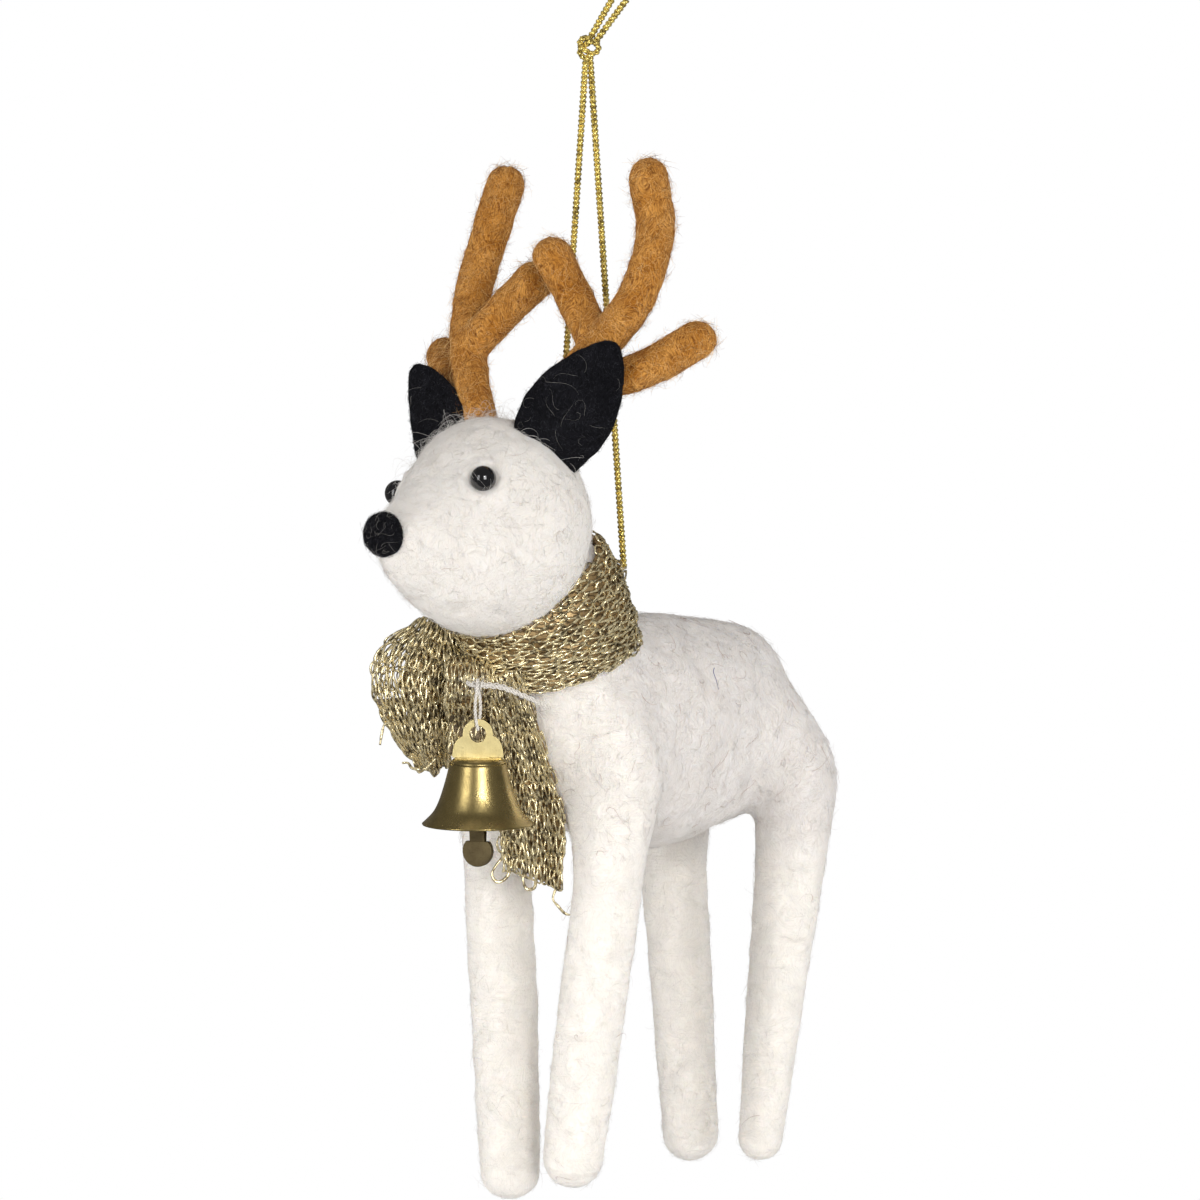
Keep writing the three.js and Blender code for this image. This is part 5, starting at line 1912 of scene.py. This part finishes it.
@dataclass
class Scarf:
    """The knitted scarf: the band round the neck, its two ends, and what hangs loose from them."""

    layout: Layout
    finishes: Finishes
    view: View
    strip: float = 17.0
    stitch: float = 2.75
    wale: float = 1.55
    loose: float = 1.03
    edge_roll: float = 1.4
    gather: float = 0.35
    exit_turn: float = 0.52
    exit_swell: float = 1.3
    exit_wide: float = 1.5
    exit_high: float = 1.7
    short_length: float = 26.5
    short_width: float = 15.2
    short_cup: float = 0.14
    long_length: float = 36.5
    long_width: float = 11.0
    knot_wide: float = 8.0
    knot_high: float = 9.2
    knot_proud: float = 8.7
    knot_forward: float = 0.1
    inner_behind: float = 2.9
    inner_half: float = 4.8
    inner_length: float = 11.0

    # Places down each end from the neck's middle, in shares of the band's outside: ahead, left, down.
    SHORT_PATH = ((0.76, -0.86, 0), (1.1, -0.82, 0.6), (1.03, -0.82, 1.21), (0.83, -0.86, 1.68))
    SHORT_WIDTHS = (0.48, 0.98, 0.95, 0.68, 0.34)
    LONG_PATH = (
        (0.89, 0.18, 0.51),
        (0.69, 0.2, 1.05),
        (0.53, 0.2, 1.63),
        (0.39, 0.17, 2.17),
        (0.36, 0.16, 2.85),
    )
    LONG_WIDTHS = (0.6, 0.66, 0.82, 0.96, 0.84)
    ACROSS = np.linspace(-0.97, 0.97, 25)
    KNOT_AT = (472, 686)
    TURN_AT = (479, 686)
    # Each loose yarn's end, thickness, and places as column, row and shift towards the camera.
    YARNS = {
        "yarn_end_side": ("short", 0.5, ((392, 722, 0), (385, 724, 0), (382, 733, 0), (380, 745, 0))),
        "yarn_end_low": (
            "short",
            0.5,
            ((436, 758, 0), (424, 769, 0.5), (412, 768, 0.5), (408, 763, 0), (402, 763, 0)),
        ),
        "live_loop_left": (
            "long",
            0.6,
            (
                (509, 852, 0),
                (497, 864, 0.5),
                (492, 875, 0.8),
                (497, 882, 0.8),
                (506, 878, 0.6),
                (514, 858, 0),
            ),
        ),
        "live_loop_middle": (
            "long",
            0.6,
            ((525, 864, 0), (523, 880, 0.4), (527, 889, 0.4), (534, 888, 0.4), (536, 872, 0)),
        ),
        "yarn_end_tail": (
            "long",
            0.5,
            ((557, 886, 0), (553, 899, 0), (558, 906, 0.3), (566, 914, 0), (575, 915, 0)),
        ),
    }

    @property
    def short(self) -> ScarfEnd:
        """The flap under the chin."""
        size = (self.short_length, self.short_width)
        return ScarfEnd(self.layout, self.SHORT_PATH, *size, self.SHORT_WIDTHS, self.short_cup)

    @property
    def long(self) -> ScarfEnd:
        """The end that hangs behind the bell."""
        return ScarfEnd(self.layout, self.LONG_PATH, self.long_length, self.long_width, self.LONG_WIDTHS)

    def band(self, off: float) -> Surface:
        """The band's surface, off millimetres outside its middle.

        Round the neck, its width goes from that at the front to that at the nape with the square
        root of the share behind, its upper half is wider, and its upper edge leans in by roll * v^2.
        Over each end of the cord it swells by a bell curve of the distance.
        """
        layout = self.layout

        def surface(u: Array, v: Array) -> tuple[Array, Array]:
            """Places and facing at shares round and across the band."""
            turn = 2 * np.pi * u + np.pi
            behind = (1 + np.cos(turn)) / 2
            width = layout.band_front + (layout.band_back - layout.band_front) * np.sqrt(behind)
            high = width / 2 * np.where(v > 0, layout.band_upper, 1.0) * v
            roll = np.where(v > 0, self.edge_roll * v**2, 0.0)
            gathers = self.gather * (1 - behind) * np.cos(3.2 * np.pi * v + 3 * np.sin(2 * turn))
            crown = off * np.sqrt(np.maximum(1 - 0.75 * v**2, 0.1))
            out = turned(turn, layout.back, ASIDE)
            aside = (np.abs(turn - 2 * np.pi) - self.exit_turn) * layout.ring
            above = high - layout.exit_rise
            near = (aside / self.exit_wide) ** 2 + (above / self.exit_high) ** 2
            swell = self.exit_swell * np.exp(-near)
            radius = layout.ring + crown - roll + gathers * np.sign(off) + swell
            lean = np.where(v > 0, 2 * self.edge_roll * v / (width / 2 * layout.band_upper), 0.0)
            facing = unit(out + (lean + 0.35 * v)[..., None] * layout.up)
            return layout.centre + radius[..., None] * out + high[..., None] * layout.up, facing

        return surface

    def bulge(self, middle: Array, off: float) -> Surface:
        """The knot where the two ends cross, off millimetres outside its middle.

        With a = pi * (u - 1/2) and b = v * pi / 2, a place is middle + width * sin(b) * across +
        height * sin(a) * up + proud * cos(a) * cos(b) * out.
        """
        across, out = self.view.across, self.view.towards

        def surface(u: Array, v: Array) -> tuple[Array, Array]:
            """Places and facing at shares down and across the knot."""
            a, b = np.pi * (u - 0.5), np.clip(v, -1, 1) * np.pi / 2
            side, rise, front = np.broadcast_arrays(np.sin(b), -np.sin(a), np.cos(a) * np.cos(b))
            fold = 0.3 * np.sin(9 * v + 2 * u) + off
            wide, high = self.knot_wide / 2 * side, self.knot_high / 2 * rise
            places = middle + wide[..., None] * across + high[..., None] * UP
            places = places + (self.knot_proud * front + fold)[..., None] * out
            facing = side[..., None] * across + rise[..., None] * UP + (front + 0.4)[..., None] * out
            return places, unit(facing)

        return surface

    def inner_turn(self, high: float, low: float, off: float) -> Surface:
        """The strip's inner turn behind the bell's plate, off millimetres in front of its middle.

        Down it, its depth towards the camera goes from high to low.
        """
        across, out = self.view.across, self.view.towards

        def surface(u: Array, v: Array) -> tuple[Array, Array]:
            """Places and facing at shares down and across the turn."""
            share_u, share_v = np.broadcast_arrays(u, v)
            deep = high * (1 - share_u) + low * share_u + off
            deep = deep + 0.5 * np.cos(1.5 * np.pi * share_v)
            places = self.view.place(*self.TURN_AT, 0.0) + (self.inner_half * share_v)[..., None] * across
            places = places - (self.inner_length * share_u)[..., None] * UP
            places = places + (deep - places @ out)[..., None] * out
            return places, np.broadcast_to(out, places.shape)

        return surface

    def knit(
        self,
        name: str,
        knitting: Knitting,
        surface: Surface,
        flat: tuple[float, float],
        held: str,
        rests_on: str = "scarf_collar",
        nodes: Sequence[str] = (),
    ) -> None:
        """Args:
            name: its name.
            knitting: its stitches.
            surface: what they lie on.
            flat: its width and length before it was hung, in millimetres; not used.
            held: how it is held; not used.
            rests_on: the node or piece that it rests on; not used.
            nodes: the CAD nodes it stands for.
        """
        piece = add_piece(name, knitting.mesh(name, surface), self.finishes.knit, "gold_knit", nodes)

    def underlay(
        self,
        name: str,
        layers: Sequence[Surface],
        material: Material,
        down: Array,
        across: Array = ACROSS,
        closed: bool = False,
    ) -> None:
        """Makes a thin closed sheet behind open knitting, for the turns that lie under the top one, in a
        darker finish that is painted shade in the gaps.

        Args:
            name: its name.
            layers: its front and its back.
            material: its finish.
            down: shares down it.
            across: shares across it.
            closed: whether its last row joins its first.
        """
        front, rear = (layer(down[:, None], across[None])[0] for layer in layers)
        rings = np.concatenate([front, rear[:, ::-1]], axis=1)
        mesh = flipped(mesh_from(name, skin(rings, Ends.JOINED if closed else Ends.FLAT)))
        set_attribute(mesh, "along", places_of(mesh)[:, 2])
        add_piece(name, mesh, material, "gold_knit")

    def build_band(self) -> None:
        """Makes the band round the neck."""
        around = 2 * np.pi * self.layout.ring
        knitting = Knitting(round(self.strip / self.wale), round(around / self.stitch), seed=71)
        flat = (self.strip, around)
        self.knit("knit_band", knitting, self.band(0.55), flat, "gathered", "body", ["scarf_collar"])
        # Painted shade: a darker sheet under the band, seen through its stitches.
        layers = [self.band(off) for off in (0.05, -0.9)]
        down = np.linspace(0, 1, 128, endpoint=False)
        self.underlay("knit_band_lining", layers, self.finishes.lining, down, closed=True)

    def build_short_end(self) -> None:
        """Makes the flap under the chin in two open layers, with a darkened under sheet and a beige-brown
        felt backing, both partly painted shade in the holes.
        """
        surface, flat = self.short.surface, (self.strip, self.short_length)
        rows = round(self.short_length / (self.stitch * self.loose))
        wales = round(self.strip / (self.wale * self.loose))
        top, back = Knitting(wales, rows, seed=72), Knitting(wales + 3, rows + 2, 0.43, wander=0.2, seed=76)
        self.knit("knit_short_end", top, surface(0.25, 0.35), flat, "hung", nodes=["scarf_short_end"])
        self.knit("knit_short_back", back, surface(0.35, -0.75), flat, "hung")
        # Painted shade: a darker sheet under the flap's layers, seen through the holes.
        layers = [surface(0.3, off) for off in (-1.15, -1.6)]
        across = np.linspace(-0.35, 0.97, 25)
        self.underlay("knit_short_lining", layers, self.finishes.lining, np.linspace(0, 1, 41), across)
        # The backing sheet behind the flap's lower left edge: partly a felt strip, partly painted shade in
        # the flap's holes.
        layers = [surface(0.25, off) for off in (-1.7, -2.2)]
        down, across = np.linspace(0.52, 1.0, 30), np.linspace(-1.02, -0.45, 9)
        self.underlay("scarf_backing_shade", layers, self.finishes.felt["backing_felt_shade"], down, across)

    def build_long_end(self) -> None:
        """Makes the gathered end that hangs behind the bell, in two layers."""
        surface, flat = self.long.surface, (self.strip, self.long_length)
        rows = round(self.long_length / self.stitch)
        knitting = Knitting(round(self.strip / self.wale), rows, seed=73)
        top = surface(0.55, 0.45, 0.09)
        self.knit("knit_long_end", knitting, top, flat, "gathered", nodes=["scarf_long_end"])
        # Painted shade: a darker sheet under the long end, seen through its stitches.
        layers = [surface(0.3, off, 0.12) for off in (-0.2, -0.8)]
        self.underlay("knit_long_lining", layers, self.finishes.lining, np.linspace(0, 1, 61))

    def build_crossing(self) -> None:
        """Makes the knot at the throat and the strip's inner turn behind the bell's plate, with a brown
        sheet behind the turn that is painted shade.
        """
        short, long, out = self.short.line(), self.long.line()[20], self.view.towards
        depth = float((short[24] + long) @ out / 2) + self.knot_forward
        middle = self.view.place(*self.KNOT_AT, depth)
        high, low = depth - self.inner_behind, float((short[150] + long) @ out / 2) - 2.0
        knot = Knitting(11, 5, seed=77)
        flat = (knot.wales * self.wale, knot.rows * self.stitch)
        self.knit("knit_crossing", knot, self.bulge(middle, 0.3), flat, "gathered")
        turn = Knitting(7, 4, seed=78)
        flat = (turn.wales * self.wale, turn.rows * self.stitch)
        self.knit("knit_inner_turn", turn, self.inner_turn(high, low, 0.6), flat, "hung")
        # Painted shade: a brown felt sheet behind the inner turn, for the shadowed knit behind the plate.
        layers = [self.inner_turn(high, low, off) for off in (0.2, -0.3)]
        felt = self.finishes.felt["inner_turn"]
        self.underlay("knit_inner_lining", layers, felt, np.linspace(0, 1, 25))
        # Painted shade: a darker sheet under the knot, seen through its stitches.
        layers = [self.bulge(middle, off) for off in (-0.3, -0.9)]
        self.underlay("knit_crossing_lining", layers, self.finishes.lining, np.linspace(0, 1, 21))

    def build_loose(self) -> None:
        """Makes the loose ends and live loops, at columns and rows of the photograph.

        Each place also has a shift towards the camera, in millimetres.
        """
        depths = {
            "short": float(self.short.line()[150] @ self.view.towards),
            "long": float(self.long.line()[-1] @ self.view.towards),
        }
        twist = np.linspace(0, 5, 60)
        for name, (end, diameter, pixels) in self.YARNS.items():
            places = [self.view.place(column, row, depths[end] + shift) for column, row, shift in pixels]
            path = smooth_path(places, 60)
            mesh = mesh_from(name, tube(path, diameter / 2, 6, self.view.towards + 0.01, 0.7, twist))
            along = np.repeat(np.linspace(0, path_length(path), 60), 6)
            set_attribute(mesh, "along", np.concatenate([along, [0, 0]]))
            add_piece(name, mesh, self.finishes.knit, "gold_knit")

    def build(self) -> None:
        """Makes the scarf."""
        self.build_band()
        self.build_short_end()
        self.build_long_end()
        self.build_crossing()
        self.build_loose()


@dataclass
class Bell:
    """The brass bell with its cotton loop, hanger plate and folded clapper."""

    layout: Layout
    finishes: Finishes
    tie_ahead: float = 19.7
    tie_aside: float = 4.0
    tie_below: float = 8.75
    tie_length: float = 12.5
    thread: float = 0.55
    thread_drop: float = 7.0
    mouth: float = 17.7
    crown: float = 8.7
    height: float = 10.4
    wall: float = 0.5
    corner: float = 1.1
    plate: float = 0.45
    plate_width: float = 8.1
    hole: float = 2.6
    hole_height: float = 3.4
    lobe: float = 4.8
    tab: float = 3.6
    tab_hole: float = 2.2
    tab_length: float = 4.1
    clapper_turn: float = 20.0
    leaf: float = 0.35
    leaf_width: float = 2.5
    leaf_neck: float = 1.2
    leaf_end: float = 4.9
    leaf_below: float = 6.9
    leaf_lean: float = 0.72
    leaf_cut: float = 0.7
    lean_from: float = 3.0
    lean_to: float = 9.0
    spread: float = 0.4
    pitch: float = 1.2
    loop_ply: float = 0.14
    loop_ply_off: float = 0.13
    wrap: float = 0.16
    wrap_radius: float = 0.55
    wrap_reach: float = 0.9
    edge: float = 0.06

    FLARE = ((0.0, 0.0), (0.2, 0.09), (0.44, 0.24), (0.67, 0.42), (0.84, 0.63), (1.0, 1.0))
    TIE = (
        (0.02, -0.5, 0.04),
        (-0.13, -0.18, 0.02),
        (-0.07, 0, 0),
        (0, 0, 0),
        (0.07, 0, 0),
        (0.3, -0.06, -0.03),
        (0.62, -0.06, -0.16),
        (0.92, -0.08, -0.3),
    )

    @property
    def hook(self) -> Array:
        """Where the loop hangs on the tie."""
        return self.layout.centre - np.array([self.tie_ahead, self.tie_aside, self.tie_below])

    @property
    def foot(self) -> Array:
        """The loop's lower end."""
        return self.hook - self.thread_drop * UP

    @property
    def plate_base(self) -> float:
        """The bottom of the plate, from the loop's lower end."""
        return -(self.hole_height + self.hole / 2 - self.layout.gap - self.thread / 2)

    @property
    def crown_top(self) -> float:
        """The top of the bell, from the loop's lower end."""
        return self.plate_base - self.layout.gap

    def placed(self, places: Array, turn: float = 0.0, drop: float = 0.0) -> Array:
        """Places in the bell's own axes, with the plate across X, put into the frame's axes."""
        angle = -math.radians(self.layout.chest_turn + turn)
        c, s = math.cos(angle), math.sin(angle)
        x, y, z = places[..., 0], places[..., 1], places[..., 2]
        return self.foot + np.stack([c * x - s * y, s * x + c * y, z + drop], -1)

    def profile(self, wall: float) -> Array:
        """The bell's outline, wall millimetres inside its outer face, as (radius, height) rows.

        It goes out across the crown, round its corner and down the flare.
        """
        bend = np.linspace(np.pi / 2, 0, 9)[:, None]
        round_ = self.corner - wall
        shoulder = self.crown / 2 - self.corner
        corner = np.hstack([shoulder + round_ * np.cos(bend), round_ * np.sin(bend) - self.corner])
        down = table(self.FLARE, np.linspace(0, 1, 40))[4:]
        radius = (self.crown + (self.mouth - self.crown) * down[:, 1]) / 2 - wall
        return np.vstack([corner, np.column_stack([radius, -down[:, 0] * self.height])])

    def shell_mesh(self) -> Mesh:
        """The bell turned about its axis, with a rounded lip.

        Each place of the outline stands at (radius cos a, radius sin a, height) for a round the axis.
        """
        outer = self.profile(0.0)
        inner = self.profile(self.wall)[::-1]
        bend = np.linspace(0, np.pi, 7)[1:-1, None]
        lip_middle = (outer[-1] + inner[0]) / 2
        lip = lip_middle + self.wall / 2 * np.hstack([np.cos(bend), -np.sin(bend)])
        outline = np.vstack([[0.02, 0.0], outer, lip, inner, [0.02, -self.wall]])
        ring = turned(full_turn(112), AHEAD, ASIDE)
        rings = outline[:, None, :1] * ring[None] + outline[:, None, 1:] * UP + self.crown_top * UP
        return flipped(mesh_from("brass_shell", skin(self.placed(rings))))

    def flat_piece(self, name: str, outlines: Sequence[Array], thickness: float, put: Carry) -> Mesh:
        """A stamped piece of sheet with softened edges.

        Args:
            name: its name.
            outlines: its outer edge and holes, as rows of (across, up).
            thickness: of the sheet.
            put: carries places from (across, out, up) into the frame's axes.

        Returns:
            The mesh.
        """
        data = bpy.data.curves.new(name, "CURVE")
        data.dimensions = "2D"
        data.fill_mode = "BOTH"
        data.extrude = (thickness / 2 - self.edge) * MM
        data.bevel_depth = self.edge * MM
        data.bevel_resolution = 2
        data.offset = -self.edge * MM
        for outline in outlines:
            spline = data.splines.new("POLY")
            spline.points.add(len(outline) - 1)
            rows = np.column_stack([outline * MM, np.zeros(len(outline)), np.ones(len(outline))])
            spline.points.foreach_set("co", rows.ravel())
            spline.use_cyclic_u = True
        mesh = evaluated(name, linked(name + "_flat", data))
        places = places_of(mesh)
        move_places(mesh, put(np.stack([places[:, 0], -places[:, 2], places[:, 1]], -1)))
        return flipped(merged(mesh))

    def circle(self, centre: float, radius: float, start: float, stop: float, count: int = 40) -> Array:
        """An arc about a point of the middle line, as rows of (across, up)."""
        turn = np.linspace(start, stop, count)
        return np.column_stack([radius * np.cos(turn), centre + radius * np.sin(turn)])

    def plate_outlines(self) -> list[Array]:
        """The hanger plate with its tab: outer edge, thread hole and clapper hole."""
        base, lobe = self.crown_top, self.lobe / 2
        top = self.plate_base + self.hole_height
        shoulder = top - base - self.hole_height * 0.1
        start = math.asin((base + shoulder - top) / lobe)
        tab_bottom = self.crown_top - self.tab_length
        tab_end = tab_bottom + self.tab / 2
        t = np.linspace(0, 1, 16)[1:, None]
        half = self.plate_width / 2
        a, b = np.array([half, base]), np.array([half, base + shoulder * 0.6])
        c = np.array([half - lobe * 0.3, base + shoulder * 0.95])
        d = np.array([lobe * math.cos(start), base + shoulder])
        bend = (1 - t) ** 3 * a + 3 * (1 - t) ** 2 * t * b + 3 * (1 - t) * t**2 * c + t**3 * d
        right = np.vstack([[[self.tab / 2, tab_end], [self.tab / 2, base], a], bend])
        arch = self.circle(top, lobe, start, math.pi - start)[1:-1]
        left = right[::-1] * np.array([-1, 1])
        foot = self.circle(tab_end, self.tab / 2, math.pi, 2 * math.pi)[1:-1]
        holes = ((top, self.hole), (tab_end, self.tab_hole))
        rims = [self.circle(centre, across / 2, 2 * math.pi, 0)[:-1] for centre, across in holes]
        return [np.vstack([right, arch, left, foot]), *rims]

    def build_bell(self) -> None:
        """Makes the shell and the hanger plate."""
        add_piece("brass_shell", self.shell_mesh(), self.finishes.brass, "brass", ["bell_shell"], "bell")
        mesh = self.flat_piece("brass_hanger", self.plate_outlines(), self.plate, self.placed)
        add_piece("brass_hanger", mesh, self.finishes.plate, "brass", ["bell_hanger"], "bell")

    def build_clapper(self) -> None:
        """Makes the clapper's two leaves and the fold that joins them through the tab."""
        tab_end = self.crown_top - self.tab_length + self.tab / 2
        drop = tab_end - self.tab_hole / 8
        turn = math.radians(self.clapper_turn)
        offset = self.tab / 2 * math.sin(turn) + self.plate / 2 + self.layout.gap / 2
        bottom = self.crown_top - self.height - self.leaf_below - drop
        radius = self.leaf_end / 2
        start = self.leaf_cut
        step = bottom + radius * (1 + math.sin(start))
        shoulder = -self.leaf / 2 - self.leaf_neck / 2
        wide, narrow, high = self.leaf_width / 2, self.leaf_neck / 2, self.leaf / 2
        neck = [[wide, shoulder], [narrow, high], [-narrow, high], [-wide, shoulder], [-wide, step]]
        end = self.circle(bottom + radius, radius, math.pi - start, 2 * math.pi + start, 56)
        outline = np.vstack([neck, end, [[wide, step]]])
        reach = offset + self.leaf / 2

        def put(out: float) -> Carry:
            """How a leaf that stands out from the tab goes into place. Below the tab it leans in."""

            def carry(p: Array) -> Array:
                """Places of the leaf, out * (1 - leaf_lean * a smooth step down it) from the tab."""
                lean = 1 - self.leaf_lean * smoothstep(self.lean_from, self.lean_to, -p[:, 2])
                return self.placed(p + out * lean[:, None] * ASIDE, self.clapper_turn, drop)

            return carry

        # Painted shade: the leaves and the fold take the darkened clapper brass, for the shadow under the
        # bell.
        for name, way in (("clapper_leaf_front", -1), ("clapper_leaf_back", 1)):
            mesh = self.flat_piece(name, [outline], self.leaf, put(way * reach))
            nodes = ["bell_clapper"] if way < 0 else []
            add_piece(name, mesh, self.finishes.dull, "brass", nodes, "clapper")
        bend = np.linspace(0, np.pi, 17)
        line = np.stack([np.zeros(17), reach * np.cos(bend), 0.25 * np.sin(bend)], -1)
        line = self.placed(line, self.clapper_turn, drop)
        lean = self.placed(AHEAD, self.clapper_turn, 0) - self.foot
        fold = mesh_from("clapper_fold", tube(line, self.leaf / 2, 10, lean, self.leaf_neck / self.leaf))
        add_piece("clapper_fold", fold, self.finishes.dull, "brass", body="clapper")

    def spun(self, path: Array, run: Array, lean: Array, plies: int, radius: float, off: float) -> Shell:
        """Thread spun of plies.

        A ply's angle is 2 * pi * (run / pitch + its share of a turn), at the distance off.

        Args:
            path: the thread's middle line.
            run: how far along it each place stands.
            lean: a direction nowhere along it.
            plies: how many plies.
            radius: of a ply.
            off: a ply's distance from the path.

        Returns:
            The plies.
        """
        _, side, across = frames(path, lean)
        turns = [2 * np.pi * (run / self.pitch + k / plies) for k in range(plies)]
        return tube(np.array([path + off * turned(turn, side, across) for turn in turns]), radius, 6, lean)

    def loop_shell(self) -> Shell:
        """The loop: a half turn over the tie and one through the plate, joined by parted strands."""
        foot_radius = self.plate / 2 + self.layout.gap + self.thread / 2
        head_radius = self.thread + self.layout.gap
        half_turn = np.linspace(0, np.pi, 24)
        over = turned(half_turn, ASIDE, UP) * head_radius + self.thread_drop * UP
        under = turned(half_turn + np.pi, ASIDE, UP) * foot_radius + foot_radius * UP
        path = spaced(np.vstack([over, under, over[:1]]), 220)
        down = np.clip(path[:, 2] / self.thread_drop, 0, 1)
        path[:, 0] += self.spread * np.sign(path[:, 1]) * np.sin(np.pi * down)
        path = self.placed(path)
        run = np.linspace(0, path_length(path), len(path))
        return self.spun(path, run, self.layout.chest_across, 2, self.loop_ply, self.loop_ply_off)

    def tie_shell(self) -> Shell:
        """The tie: its spun thread with two looser strands, and the turns round the loop."""
        along, forward = self.layout.chest_across, self.layout.chest_forward
        points = [self.hook + self.tie_length * (a * along + f * forward + u * UP) for a, f, u in self.TIE]
        tie = smooth_path(points, 160)
        wander = 0.25 * np.sin(np.linspace(0, 9, 160))[:, None] * forward
        strands = (
            (tie, 2, 0.18),
            (tie[40:] + 0.35 * UP + wander[40:], 1, 0.11),
            (tie[60:150] - 0.3 * UP - wander[60:150], 1, 0.1),
        )
        shells = [
            self.spun(path, run_along(path), forward + 0.02, plies, radius, 0.8 * radius)
            for path, plies, radius in strands
        ]
        wrap = self.hook + self.wrap_radius * turned(np.linspace(0, 5 * np.pi, 90), forward, UP)
        wrap = wrap + along * np.linspace(-self.wrap_reach, self.wrap_reach, 90)[:, None]
        return joined([*shells, tube(wrap, self.wrap, 6, along)])

    def build_threads(self) -> None:
        """Makes the cotton loop on the bell and the tie that it hangs on, with its frayed tail."""
        cotton, slot = self.finishes.cotton, "cotton_thread"
        loop = mesh_from("cotton_loop", self.loop_shell())
        add_piece("cotton_loop", loop, cotton, slot, ["thread_loop"], "bell_thread")
        tie = mesh_from("cotton_tie", self.tie_shell())
        add_piece("cotton_tie", tie, cotton, slot, ["thread_tie"])
        fray = Coat(160, length=2.2, lift=0.25, diameter=0.03, curl=2.0, loose=0.6, steps=7, seed=81)
        fray.add("cotton_fray", tie, cotton, slot)

    def build(self) -> None:
        """Makes the bell and all that it hangs by."""
        self.build_bell()
        self.build_clapper()
        self.build_threads()


@dataclass
class Armature:
    """The wires inside the wool and the cord inside the neck, which keep their CAD meshes."""

    finishes: Finishes
    nodes: dict[str, Object]

    WIRES = ("leg_wire_front", "leg_wire_hind", "spine_wire", "antler_wire_left", "antler_wire_right")

    def build(self) -> None:
        """Gives them their finishes."""
        for name in (*self.WIRES, "cord_inner"):
            node = self.nodes[name]
            node.data.materials.clear()
            node.data.materials.append(self.finishes.braid if name == "cord_inner" else self.finishes.wire)
            LOG.info("%s keeps its CAD mesh", name)


def corners(bounds: tuple[Vector, Vector]) -> list[list[float]]:
    """A box's corners as plain lists."""
    return [[round(float(x), 6) for x in corner] for corner in bounds]


def main() -> None:
    """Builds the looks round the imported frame, in order."""
    logging.basicConfig(level=logging.INFO, format="%(message)s")
    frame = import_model()
    cad = corners(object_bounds())
    view = View()
    studio = Studio(view)
    studio.add_camera()
    finishes = Finishes()
    layout = Layout()
    HangingCord(layout, finishes).build()
    body = WoolBody(layout, finishes)
    body.add_blue_hair(view, body.build())
    head = Head(layout, finishes)
    head.build()
    Antlers(head, finishes).build()
    Ears(head, finishes).build()
    Scarf(layout, finishes, view).build()
    Bell(layout, finishes).build()
    Armature(finishes, frame["nodes"]).build()
    studio.build()
    {"cad": cad, "visual": corners(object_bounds())}


if __name__ == "__main__":
    main()
